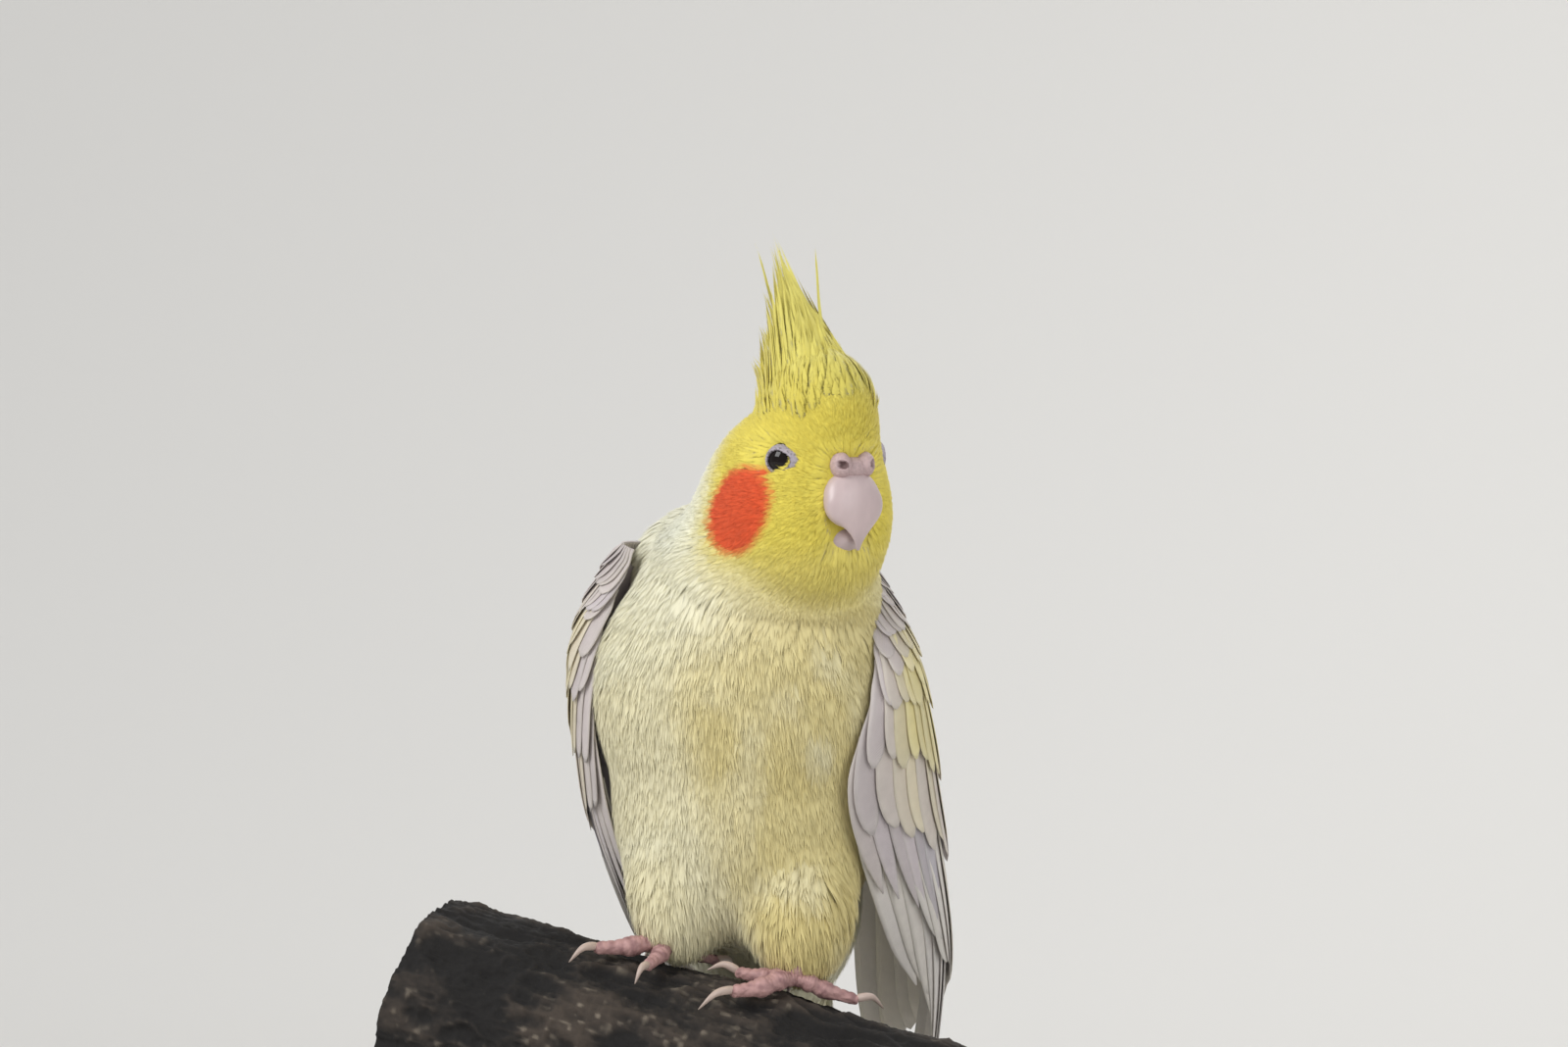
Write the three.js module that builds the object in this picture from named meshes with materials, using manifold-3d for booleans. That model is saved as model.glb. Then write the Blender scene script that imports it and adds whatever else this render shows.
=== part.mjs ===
// A life-size cockatiel on a short cut length of branch, held up by a plain display stand.
// Units are millimetres, +Z is up and the breast faces -Y, so the bird's left side is +X.
// The bird's own frame has its origin between the feet, on top of the branch.
import * as THREE from "three";
import { mergeVertices } from "three/addons/utils/BufferGeometryUtils.js";
import Module from "manifold-3d";

const wasm = await Module();
wasm.setup();

// Driving sizes
const GAP = 0.3; // between pieces that touch
const FEET_HEIGHT = 166; // floor to the top of the branch
const FEET_BACK = -14; // the feet's place on the stand, along Y
const VANE = 0.6; // thickness of a feather vane
const EYE_RADIUS = 3.7;
const TAIL_LENGTH = 152;
const BRANCH = { radius: 27, length: 128, slope: 12.5, heading: -6, top: -2.4 };
const BASE = { radius: 60, height: 12, bevel: 2.5 };
const ROD_RADIUS = 4.5;

const V = (x, y, z) => new THREE.Vector3(x, y, z);
const radians = THREE.MathUtils.degToRad;
const mix = THREE.MathUtils.lerp;
const smooth = (x, a, b) => THREE.MathUtils.smoothstep(x, a, b);

// A geometry as a closed solid, with its faces turned out.
function toSolid(geometry) {
  const bare = geometry.clone();
  for (const name of ["normal", "uv"]) bare.deleteAttribute(name);
  const merged = mergeVertices(bare, 1e-4);
  const vertProperties = new Float32Array(merged.attributes.position.array);
  const kept = [];
  const index = merged.index.array;
  for (let i = 0; i < index.length; i += 3) {
    const [a, b, c] = [index[i], index[i + 1], index[i + 2]];
    if (a !== b && b !== c && c !== a) kept.push(a, b, c);
  }
  const triVerts = new Uint32Array(kept);
  const made = new wasm.Manifold(new wasm.Mesh({ numProp: 3, vertProperties, triVerts }));
  if (made.volume() > 0) return made;
  for (let i = 0; i < triVerts.length; i += 3)
    [triVerts[i + 1], triVerts[i + 2]] = [triVerts[i + 2], triVerts[i + 1]];
  return new wasm.Manifold(new wasm.Mesh({ numProp: 3, vertProperties, triVerts }));
}

const unite = (pieces) => wasm.Manifold.union(pieces);

// The largest closed body of a solid.
function largest(solid) {
  return solid.decompose().reduce((a, b) => (a.volume() > b.volume() ? a : b));
}

function toMesh(name, solid, material) {
  const { vertProperties, triVerts } = largest(solid).getMesh();
  const geometry = new THREE.BufferGeometry()
    .setAttribute("position", new THREE.BufferAttribute(vertProperties, 3))
    .setIndex(new THREE.BufferAttribute(triVerts, 1));
  geometry.computeVertexNormals();
  const mesh = new THREE.Mesh(geometry, material);
  mesh.name = name;
  return mesh;
}

// A ball's grid carried to a new shape: place(u, v) has u once round and v from pole to pole.
function shaped(around, along, place) {
  const ball = new THREE.SphereGeometry(1, around, along);
  const { position, uv } = ball.attributes;
  for (let i = 0; i < position.count; i++) {
    const v = 1 - Math.round(uv.getY(i) * along) / along;
    const u = v === 0 || v === 1 ? 0 : (Math.floor(i % (around + 1)) % around) / around;
    const p = place(u, v);
    position.setXYZ(i, p.x, p.y, p.z);
  }
  return toSolid(ball);
}

// A closed tube through rings of points, with a fan at each end.
function lofted(rings) {
  const n = rings[0].length;
  const points = rings.flat();
  const middle = (ring) => ring.reduce((sum, p) => sum.add(p), V(0, 0, 0)).divideScalar(n);
  points.push(middle(rings[0]), middle(rings.at(-1)));
  const index = [];
  for (let r = 0; r + 1 < rings.length; r++)
    for (let k = 0; k < n; k++) {
      const [a, b] = [r * n + k, r * n + ((k + 1) % n)];
      index.push(a, b, a + n, b, b + n, a + n);
    }
  for (let k = 0; k < n; k++) {
    const last = (rings.length - 1) * n;
    index.push(points.length - 2, (k + 1) % n, k);
    index.push(points.length - 1, last + k, last + ((k + 1) % n));
  }
  const geometry = new THREE.BufferGeometry().setFromPoints(points);
  geometry.setIndex(index);
  return toSolid(geometry);
}

// A smooth line through a few points, read by a share from 0 to 1.
function line(...points) {
  const curve = new THREE.CatmullRomCurve3(points, false, "catmullrom", 0.5);
  return (t) => curve.getPoint(t);
}

// A set of axes: x across, y along the way it points, z up from it.
function axesOf(forward, up) {
  const f = forward.clone().normalize();
  const side = up.clone().cross(f).normalize();
  return { f, l: side, u: f.clone().cross(side) };
}

// An ellipsoid: its centre, its half sizes and the three axes that they are measured along.
function ball(centre, sizes, axes) {
  return { centre, sizes, axes };
}

// About how far p is outside a ball, below 0 inside it.
function distance(p, b) {
  const d = p.clone().sub(b.centre);
  const q = b.axes.map((axis, i) => d.dot(axis) / b.sizes[i]);
  const k0 = Math.hypot(...q);
  const k1 = Math.hypot(...q.map((x, i) => x / b.sizes[i]));
  return k1 < 1e-9 ? -Math.min(...b.sizes) : (k0 * (k0 - 1)) / k1;
}

// The head's frame: f points along the bill, l to the bird's left and u up.
const HEAD_TURN = 49;
const HEAD = V(18.5, -2, 105.5);
const turned = radians(HEAD_TURN);
const headAxes = axesOf(V(Math.sin(turned), -Math.cos(turned), 0), V(0, 0, 1));
const inHead = (f, l, u) =>
  HEAD.clone()
    .addScaledVector(headAxes.f, f)
    .addScaledVector(headAxes.l, l)
    .addScaledVector(headAxes.u, u);
const headList = [headAxes.f, headAxes.l, headAxes.u];

// The body's long axis leans back, and x stays across.
const leaning = (degrees) => {
  const a = radians(degrees);
  return [V(1, 0, 0), V(0, Math.cos(a), Math.sin(a)), V(0, -Math.sin(a), Math.cos(a))];
};

// Neck, trunk, thighs and vent as balls that melt into one another.
const TRUNK = [
  ball(V(2.5, 10, 56), [32, 25, 31], leaning(20)),
  ball(V(1.5, 17, 32), [28.3, 25, 29.5], leaning(24)),
  ball(V(0, 34, 12), [21, 17, 28], leaning(28)),
  ball(V(0, 50, -12), [10.5, 8, 24], leaning(28)),
  ball(V(6, 8, 78), [23, 20, 20], leaning(10)),
  ball(V(11, 5, 92), [16.5, 16.5, 19], leaning(6)),
  ball(V(14, 7, 73), [18, 16, 16], leaning(10)),
  ball(V(-4.2, 21.5, 80), [21, 13.2, 16], leaning(20)),
];
const THIGHS = [
  ball(V(-11, 6, 15), [9.8, 10.5, 15], leaning(0)),
  ball(V(15.5, 7, 11), [11, 11, 15], leaning(0)),
];
const SKULL = [
  ball(inHead(-1.5, 0, -1.6), [18.5, 14.2, 13.4], headList),
  ball(inHead(2, 6.4, -10.5), [13.5, 9.5, 12.5], headList),
  ball(inHead(2, -6.4, -10.5), [13.5, 9.5, 12.5], headList),
  ball(inHead(6, 0, -18.5), [9.5, 11, 9], headList),
  ball(inHead(6.5, 0, 10), [12.5, 10.5, 13], headList),
];
const MELT = 2.6; // how far the balls melt into one another
const FLESH = [...TRUNK, ...THIGHS, ...SKULL];

function outside(p) {
  let sum = 0;
  for (const b of FLESH) sum += Math.exp(-distance(p, b) / MELT);
  return -MELT * Math.log(sum);
}

// The line inside the body that every ring of its surface is cast from, vent to crown.
const spine = line(
  V(0, 56, -22),
  V(0, 38, 8),
  V(0.5, 20, 34),
  V(3, 10, 58),
  V(8, 6, 80),
  V(14, 2, 95),
  V(19.5, -3, 106),
);
const CAP = 0.14; // share of the rings that close each end

// Where a ray from the spine leaves the body, grown by extra.
function bodyPoint(u, v, extra = 0) {
  const share = THREE.MathUtils.clamp((v - CAP) / (1 - 2 * CAP), 0, 1);
  const start = spine(share);
  const along = spine(Math.min(1, share + 0.01))
    .sub(spine(Math.max(0, share - 0.01)))
    .normalize();
  const side = V(1, 0, 0).addScaledVector(along, -along.x).normalize();
  const front = side.clone().cross(along);
  const tilt = v < CAP ? (v / CAP - 1) * 90 : v > 1 - CAP ? ((v - 1) / CAP + 1) * 90 : 0;
  const around = 2 * Math.PI * u;
  const ray = side.multiplyScalar(Math.cos(around)).addScaledVector(front, Math.sin(around));
  ray.multiplyScalar(Math.cos(radians(tilt))).addScaledVector(along, Math.sin(radians(tilt)));
  let [inner, outer] = [0, 1];
  while (outside(start.clone().addScaledVector(ray, outer)) < extra && outer < 60) outer += 1;
  inner = outer - 1;
  for (let i = 0; i < 12; i++) {
    const half = (inner + outer) / 2;
    if (outside(start.clone().addScaledVector(ray, half)) < extra) inner = half;
    else outer = half;
  }
  return start.addScaledVector(ray, outer);
}

const bodySolid = (extra, around, along) =>
  shaped(around, along, (u, v) => bodyPoint(u, v, extra));

// A slab-thin cut by a plane through point, facing normal: what is above and below it.
function parted(solid, point, normal) {
  const n = normal.clone().normalize();
  const reach = n.dot(point);
  const below = solid.trimByPlane([-n.x, -n.y, -n.z], -(reach - GAP / 2));
  return [solid.trimByPlane([n.x, n.y, n.z], reach + GAP / 2), below];
}

// A round limb along a line: radii(t) gives [across, up] half sizes at share t.
function limb(path, radii, up, sides, steps, grown = 0) {
  return shaped(sides, steps, (u, v) => {
    const t = (1 - Math.cos(Math.PI * v)) / 2;
    const end = Math.sqrt(Math.max(0, Math.sin(Math.PI * v)));
    const along = path(Math.min(1, t + 0.02)).sub(path(Math.max(0, t - 0.02))).normalize();
    const side = along.clone().cross(up).normalize();
    const lift = side.clone().cross(along);
    const [a, b] = radii(t);
    const around = 2 * Math.PI * u;
    const cap = -1.2 * grown * Math.cos(Math.PI * v);
    return path(t)
      .addScaledVector(side, (a * end + (end > 0 ? grown : 0)) * Math.cos(around))
      .addScaledVector(lift, (b * end + (end > 0 ? grown : 0)) * Math.sin(around))
      .addScaledVector(along, cap);
  });
}

const blob = (b, sides, steps, grown = 0) =>
  shaped(sides, steps, (u, v) => {
    const [phi, theta] = [2 * Math.PI * u, Math.PI * v];
    const q = [Math.cos(phi) * Math.sin(theta), Math.sin(phi) * Math.sin(theta), Math.cos(theta)];
    const p = b.centre.clone();
    q.forEach((x, i) => p.addScaledVector(b.axes[i], x * (b.sizes[i] + grown)));
    return p;
  });

// A flat feather vane: at(t) gives its middle, across and out directions, width(t) its half width.
// Its faces are split alike on both sides, so that they never cross.
function vane(at, width, steps) {
  const rings = [];
  for (let i = 0; i <= steps; i++) {
    const t = i / steps;
    const { middle, across, out } = at(t);
    const w = width(t);
    const h = (VANE / 2) * (t > 0.99 ? 0.5 : 1);
    const corner = (x, z) => middle.clone().addScaledVector(across, x).addScaledVector(out, z);
    rings.push([corner(-w, -h), corner(w, -h), corner(w, h), corner(-w, h)]);
  }
  return lofted(rings);
}

// A feather's half width: it swells from the quill and closes to a round or a pointed tip.
const TIP_START = 0.61; // share of a round feather's length where its tip starts to close
const roundTip = (w) => (t) => {
  const closing = Math.max(0, t - TIP_START) / (1 - TIP_START);
  return w * Math.max(0.12, Math.sqrt(1 - closing ** 2) * mix(0.6, 1, smooth(t, 0, 0.4)));
};
const sharpTip = (w) => (t) => w * Math.max(0.08, (1 - t ** 3) * mix(0.65, 1, smooth(t, 0, 0.35)));

// Wing: a curved patch beside the body. s runs from the shoulder to the tip, t from front to back.
// The left wing droops a little, so each wing has lines of its own, all given for the left side.
const through = (...places) => line(...places.map(([x, y, z]) => V(x, y, z)));
const WING_LINES = {
  left: {
    front: through([27, 8, 84], [33.5, -2, 61], [28.5, -2, 36], [30, 20, 6], [30, 52, -20], [20, 84, -62]),
    ridge: through([27, 15, 86], [38.5, 16, 64], [40, 32, 30], [37.5, 50, 0], [30, 66, -28], [18, 86, -63]),
    back: through([12, 22, 84], [14, 41, 62], [11, 55, 32], [11, 66, 0], [12, 76, -30], [14, 88, -64]),
  },
  right: {
    front: through([19, 7, 86], [28, 1, 62], [28, 6, 36], [22, 24, 6], [17, 52, -20], [10, 86, -60]),
    ridge: through([25, 13, 88], [33.8, 15, 66], [34.5, 32, 30], [29, 50, 0], [20, 68, -28], [8.5, 88, -61]),
    back: through([13, 23, 87], [14, 41, 63], [10, 55, 32], [6, 65, 0], [4, 76, -30], [3, 89, -62]),
  },
};

function wingPatch(side, { front, ridge, back }) {
  const point = (s, t) => {
    const [f, r, b] = [front(s), ridge(s), back(s)];
    const pull = r.multiplyScalar(2).addScaledVector(f.clone().add(b), -0.5);
    const p = f.multiplyScalar((1 - t) ** 2);
    p.addScaledVector(pull, 2 * t * (1 - t)).addScaledVector(b, t * t);
    return p.setX(side * p.x);
  };
  const normal = (s, t) => {
    const e = 0.01;
    const ds = point(Math.min(1, s + e), t).sub(point(Math.max(0, s - e), t));
    const dt = point(s, Math.min(1, t + e)).sub(point(s, Math.max(0, t - e)));
    return ds.cross(dt).normalize().multiplyScalar(side);
  };
  return { point, normal };
}

// A feather laid on the wing patch, from root [s, t] to tip [s, t], rising evenly from its root.
function wingFeather(patch, root, tip, tier, tilt) {
  const middleAt = (a) => {
    const [s, t] = [mix(root[0], tip[0], a), mix(root[1], tip[1], a)];
    return patch.point(s, t).addScaledVector(patch.normal(s, t), mix(-ROOT_DEPTH, tier.lift, a));
  };
  const at = (a) => {
    const [s, t] = [mix(root[0], tip[0], a), mix(root[1], tip[1], a)];
    const out = patch.normal(s, t);
    const along = middleAt(Math.min(1, a + 0.03)).sub(middleAt(Math.max(0, a - 0.03))).normalize();
    const across = along.clone().cross(out).normalize().applyAxisAngle(along, tilt);
    return { middle: middleAt(a), across, out: across.clone().cross(along) };
  };
  return vane(at, tier.shape(tier.half), tier.steps);
}

// Rows of feathers from the shoulder down: how many, where the roots and tips of the first (front) and
// last (back) of the row lie, their half width, the height of their tips and the shape of their tips.
const tier = (count, root, tip, half, lift, steps, shape) =>
  ({ count, root, tip, half, lift, steps, shape });
const TIERS = [
  tier(4, [[0, 0.16], [0, 0.86]], [[0.16, 0.1], [0.16, 0.9]], 6.4, 1.8, 3, roundTip),
  tier(5, [[0.1, 0.12], [0.1, 0.88]], [[0.28, 0.06], [0.29, 0.92]], 6.2, 1.7, 3, roundTip),
  tier(5, [[0.2, 0.1], [0.2, 0.9]], [[0.42, 0.05], [0.46, 0.93]], 6.8, 1.5, 3, roundTip),
  tier(5, [[0.33, 0.16], [0.33, 0.88]], [[0.6, 0.26], [0.8, 0.9]], 6.6, 0.8, 3, roundTip),
  tier(6, [[0.36, 0.1], [0.38, 0.62]], [[0.66, 0.08], [1, 0.62]], 4.6, -0.4, 5, sharpTip),
];
const ROOT_DEPTH = 2; // how deep the quills' roots lie in the wing's flesh
const SHINGLE = 0.13; // how far each vane turns over its neighbour, in radians

const WING_DEPTH = 5.5; // thickness of the wing's flesh
const RAGGED = 0.008; // how far the tips of a row differ, as a share of the wing

function wing(side, lines) {
  const patch = wingPatch(side, lines);
  const core = shaped(14, 9, (u, v) => {
    const around = 2 * Math.PI * u;
    const swell = Math.sin(Math.PI * v) ** 0.5;
    const [s, t] = [mix(0.03, 0.44, v), 0.5 + 0.42 * Math.cos(around) * swell];
    const z = (WING_DEPTH / 2) * (Math.sin(around) * swell - 1) - 0.9;
    return patch.point(s, t).addScaledVector(patch.normal(s, t), z);
  });
  const pieces = [core];
  for (const row of TIERS)
    for (let i = 0; i < row.count; i++) {
      const k = i / (row.count - 1);
      const between = ([first, last]) => first.map((x, j) => mix(x, last[j], k));
      const [root, tip] = [between(row.root), between(row.tip)];
      tip[0] += RAGGED * Math.sin(side + 5 * i + row.count);
      pieces.push(wingFeather(patch, root, tip, row, side * SHINGLE));
    }
  return unite(pieces);
}

// Tail: six pairs of long vanes from a root under the rump, the middle pair longest and on top.
const TAIL_ROOT = V(0, 47, -6);
const TAIL_LEAN = radians(26); // from upright
const TAIL_WAY = V(0, Math.sin(TAIL_LEAN), -Math.cos(TAIL_LEAN));
const TAIL_OUT = V(0, Math.cos(TAIL_LEAN), Math.sin(TAIL_LEAN));
const TAIL_PAIRS = 6;
const TAIL_STEP = 0.105; // how much shorter each pair is than the pair above it

// The fleshy root that all tail feathers grow from.
const tailBall = ball(
  TAIL_ROOT.clone().addScaledVector(TAIL_WAY, 6),
  [7.5, 4.2, 17],
  [V(1, 0, 0), TAIL_OUT, TAIL_WAY],
);
const tailFlesh = (grown) => blob(tailBall, 12, 8, grown);

function tailFeather(side, rank, length, half, from, lift, shape, steps) {
  const fan = radians(side * rank * 1.3);
  const way = TAIL_WAY.clone().applyAxisAngle(TAIL_OUT, fan);
  const across = TAIL_OUT.clone().cross(way).normalize();
  const at = (t) => ({
    middle: TAIL_ROOT.clone()
      .addScaledVector(across, side * (0.9 + 0.55 * rank))
      .addScaledVector(way, mix(from, length, t))
      .addScaledVector(TAIL_OUT, mix(lift * 0.55, lift, t) - 2.2 * t * t),
    across: across.clone().applyAxisAngle(way, side * 0.16),
    out: TAIL_OUT,
  });
  return vane(at, shape(half), steps);
}

// Under and over their roots lie short coverts, given as how far out and how high.
const TAIL_COVERTS = [[0, 3.6], [2.2, 3.1], [1.2, -4.6], [3, -4.3]];

function tail() {
  const pieces = [tailFlesh(0)];
  for (const side of [-1, 1]) {
    for (let rank = 0; rank < TAIL_PAIRS; rank++) {
      const length = TAIL_LENGTH * (1 - TAIL_STEP * rank);
      const lift = 1.9 - 0.95 * rank + 0.45 * side;
      pieces.push(tailFeather(side, rank, length, 5.4 - 0.2 * rank, 4, lift, sharpTip, 5));
    }
    for (const [rank, lift] of TAIL_COVERTS)
      pieces.push(tailFeather(side, rank, 44 - 5 * rank, 5, 0, lift + 0.3 * side, roundTip, 3));
  }
  return unite(pieces);
}

// Crest: vanes that rise from the forehead and crown, front ones short, middle ones longest. A row
// has its roots and tips as [forward, up] in the head's frame, and half the spread of each.
const row = (count, root, spread, tip, fan, half, bow) => ({ count, root, spread, tip, fan, half, bow });
const CREST = [
  row(4, [13.5, 12], 3.8, [9.5, 24], 3.2, 2.8, 2.4),
  row(4, [10.5, 14.5], 3.8, [2.5, 31], 2.6, 2.5, 2.3),
  row(4, [7, 16], 3.4, [-5.5, 38], 2, 2.3, 2.2),
  row(4, [3, 16], 3.4, [-9.5, 44.5], 1.6, 2, 1.2),
  row(3, [-1, 12.5], 3.4, [-13, 33], 1.8, 2.2, 0.8),
  row(3, [-5, 10.5], 3.4, [-16, 22.5], 2, 2.2, 0.4),
];
const CREST_RAGGED = 0.035; // how far the tips of a row differ, as a share of their length

function crestFeathers() {
  const pieces = [];
  CREST.forEach(({ count, root, spread, tip, fan, half, bow }, r) => {
    for (let i = 0; i < count; i++) {
      const k = (i / (count - 1)) * 2 - 1;
      const reach = 1 - 0.1 * Math.abs(k) + CREST_RAGGED * Math.sin(7 * i + 3 * r);
      const along = (share) => [mix(root[0], tip[0], share), mix(root[1], tip[1], share)];
      const [[f, u], [endForward, endUp]] = [along(0.45), along(reach)];
      const path = line(
        inHead(root[0], spread * k, root[1] - 3 - 0.6 * Math.abs(k)),
        inHead(f + 0.35 * bow, 1.1 * spread * k, u + 0.3 * bow),
        inHead(endForward, fan * k, endUp),
      );
      const at = (t) => {
        const way = path(Math.min(1, t + 0.03)).sub(path(Math.max(0, t - 0.03))).normalize();
        const out = headAxes.f.clone().multiplyScalar(0.85).addScaledVector(headAxes.l, 0.5 * k);
        const across = way.clone().cross(out).normalize();
        return { middle: path(t), across, out: across.clone().cross(way) };
      };
      pieces.push(vane(at, sharpTip(half), 3));
    }
  });
  return pieces;
}

// The lone straight feather that stands clear of the crest.
function loneFeather() {
  const path = line(inHead(8, 1.5, 16), inHead(3.9, 1.6, 30), inHead(2.4, 1.5, 41.5));
  const at = (t) => ({ middle: path(t), across: headAxes.l, out: headAxes.f });
  return vane(at, (t) => mix(1.1, 0.3, t), 3);
}

// Eyes and lids: each eye looks out and a little forward.
const EYE_SINK = 3.1; // its centre lies this deep under the skin
const EYE_PLACE = { f: 8.1, u: 1.6 };
const EYE_LOOK = { f: 0.45, l: 0.893 };

// An eye's centre, moved out by so much along the way that it looks.
function eyeAt(side, moved) {
  let l = 8;
  while (outside(inHead(EYE_PLACE.f, side * l, EYE_PLACE.u)) < 0) l += 0.05;
  const depth = l - EYE_SINK + moved * EYE_LOOK.l;
  return inHead(EYE_PLACE.f + moved * EYE_LOOK.f, side * depth, EYE_PLACE.u);
}

const eyeAxes = (side) => {
  const look = headAxes.l.clone().multiplyScalar(side * EYE_LOOK.l).addScaledVector(headAxes.f, EYE_LOOK.f);
  return axesOf(look, headAxes.u);
};
const eye = (side, grown) => {
  const { f, l, u } = eyeAxes(side);
  return blob(ball(eyeAt(side, 0), [EYE_RADIUS, EYE_RADIUS, EYE_RADIUS], [l, u, f]), 13, 8, grown);
};

// A lid is a ring round the opening, longer than it is high, thin at its outer edge.
function lids(side) {
  const { f, l, u } = eyeAxes(side);
  const count = 14;
  const rings = [];
  for (let i = 0; i < count; i++) {
    const a = (2 * Math.PI * i) / count;
    const way = l.clone().multiplyScalar(Math.cos(a)).addScaledVector(u, Math.sin(a));
    const corner = 1 + 0.16 * Math.max(0, Math.cos(a)) ** 6;
    const at = (r, out) => eyeAt(side, out).addScaledVector(way, r * corner);
    rings.push([at(2.1, 3), at(2.4, 3.5), at(2.9, 3.2), at(3.6, 1.8), at(2.8, 1.1)]);
  }
  const points = rings.flat();
  const index = [];
  for (let i = 0; i < count; i++)
    for (let k = 0; k < 5; k++) {
      const [a, b] = [i * 5 + k, i * 5 + ((k + 1) % 5)];
      const [c, d] = [((i + 1) % count) * 5 + k, ((i + 1) % count) * 5 + ((k + 1) % 5)];
      index.push(a, b, c, b, d, c);
    }
  const geometry = new THREE.BufferGeometry().setFromPoints(points);
  geometry.setIndex(index);
  return toSolid(geometry);
}

// Bill: a hooked upper part over a short lower scoop. Each is a row of oval slices across the head,
// given by the slice's top, its bottom and its half width.
function bill(tops, bottoms, widths, grown, sides, steps) {
  const [top, bottom] = [line(...tops), line(...bottoms)];
  const middle = (t) => top(t).add(bottom(t)).multiplyScalar(0.5);
  return shaped(sides, steps, (u, v) => {
    const t = (1 - Math.cos(Math.PI * v)) / 2;
    const end = Math.sqrt(Math.max(0, Math.sin(Math.PI * v)));
    const along = middle(Math.min(1, t + 0.02)).sub(middle(Math.max(0, t - 0.02))).normalize();
    const half = top(t).sub(bottom(t)).multiplyScalar(0.5);
    const around = 2 * Math.PI * u;
    const width = mix(...widths, smooth(t, 0.35, 0.95)) * end + (end > 0 ? grown : 0);
    const height = half.length() * end + (end > 0 ? grown : 0);
    return middle(t)
      .addScaledVector(half.normalize(), height * Math.sin(around))
      .addScaledVector(headAxes.l, width * Math.cos(around))
      .addScaledVector(along, -1.2 * grown * Math.cos(Math.PI * v));
  });
}

const inProfile = (...pairs) => pairs.map(([f, u]) => inHead(f, 0, u));
const CULMEN = inProfile(
  [13, 0.9], [18.2, 0.2], [20.3, -3], [21.3, -7], [21.2, -11], [20.5, -14.4], [19.6, -16.6],
);
const CUTTING_EDGE = inProfile(
  [10, -8], [12.5, -9.2], [14.8, -10.8], [16.8, -12], [18.6, -12.6], [19.2, -14.6], [19.5, -16.9],
);
const LOWER_TOP = inProfile([9, -9], [12.5, -10.2], [15.4, -11.9], [17.6, -13.2]);
const LOWER_KEEL = inProfile([10, -15.6], [13.4, -16.9], [16.2, -17.2], [17.9, -16]);
const billUpper = (grown) => bill(CULMEN, CUTTING_EDGE, [7, 0.9], grown, 14, 11);
const billLower = (grown) => bill(LOWER_TOP, LOWER_KEEL, [5.4, 2.6], grown, 12, 7);

// Cere: two swellings with a nostril in each, joined by a band over the bill.
const inHeadBall = (f, l, u, sizes) => ball(inHead(f, l, u), sizes, headList);
const cereBall = (side, grown) => blob(inHeadBall(17.3, side * 2.9, 0.7, [2.9, 2.1, 2.7]), 10, 6, grown);
const cereBand = (grown) => blob(inHeadBall(16.4, 0, 0, [3.4, 4.6, 2.5]), 12, 6, grown);
const nostril = (side) => blob(inHeadBall(19.8, side * 3.7, 0.9, [1.5, 0.8, 0.85]), 8, 4);
const cere = (grown) => unite([cereBall(1, grown), cereBall(-1, grown), cereBand(grown)]);

// Branch: a bumpy round log whose axis slopes down to the bird's left.
const branchWay = V(
  Math.cos(radians(BRANCH.slope)) * Math.cos(radians(BRANCH.heading)),
  Math.cos(radians(BRANCH.slope)) * Math.sin(radians(BRANCH.heading)),
  -Math.sin(radians(BRANCH.slope)),
);
const branchUp = axesOf(branchWay, V(0, 0, 1)).u;
const branchFront = branchWay.clone().cross(branchUp);
const BRANCH_SHIFT = 2; // its axis lies this far behind the feet
const branchMiddle = V(0, BRANCH_SHIFT, BRANCH.top).addScaledVector(branchUp, -BRANCH.radius);

// The bark's height over the round log, at an angle round it and a length along it.
function bark(angle, x) {
  const ridges = Math.sin(9 * angle + 0.05 * x) + 0.6 * Math.sin(14 * angle - 0.09 * x + 1.3);
  const swells = Math.sin(0.07 * x + 2 * angle + 0.8) + 0.7 * Math.sin(0.16 * x - angle);
  return 0.45 * ridges + 0.5 * swells - 0.9;
}

// A point over the branch: x along it, angle forward from its top, height off the round log.
function onBranch(x, angle, height) {
  const a = radians(angle);
  return branchMiddle.clone()
    .addScaledVector(branchWay, x)
    .addScaledVector(branchUp, (BRANCH.radius + height) * Math.cos(a))
    .addScaledVector(branchFront, (BRANCH.radius + height) * Math.sin(a));
}

function branch() {
  const rings = [];
  const [steps, around] = [10, 24];
  for (let i = 0; i <= steps; i++) {
    const x = BRANCH.length * (i / steps - 0.5);
    const ring = [];
    for (let k = 0; k < around; k++) {
      const angle = (360 * k) / around;
      ring.push(onBranch(x, angle, bark(radians(angle), x)));
    }
    rings.push(ring);
  }
  return lofted(rings);
}

// Feet: for each, the ankle and four toes that lie over the branch, given as
// [x along the branch, angle forward from its top] at the root, the middle and the end.
const FEET = [
  {
    name: "right",
    ankle: [-13, -2],
    toes: [
      { name: "inner_front", mid: [-12.6, 11], end: [-13, 23], radius: 1.8, claw: [0.2, 12] },
      { name: "outer_front", mid: [-19, 12], end: [-25.6, 21], radius: 2, claw: [-2.6, 13] },
      { name: "inner_back", mid: [-8, -11], end: [-5, -19], radius: 1.6, claw: [2.4, -12] },
      { name: "outer_back", mid: [-18, -18], end: [-23, -33], radius: 1.8, claw: [-2.6, -14] },
    ],
  },
  {
    name: "left",
    ankle: [15.5, 0],
    toes: [
      { name: "inner_front", mid: [9.4, 3], end: [3.4, 5], radius: 1.8, claw: [-5, 7] },
      { name: "outer_front", mid: [11.6, 15], end: [6.4, 24], radius: 2, claw: [-3.8, 15] },
      { name: "inner_back", mid: [12, -14], end: [9.6, -27], radius: 1.6, claw: [-1, -14] },
      { name: "outer_back", mid: [21.5, -6], end: [28.4, -12], radius: 1.8, claw: [4.4, -9] },
    ],
  },
];

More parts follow.
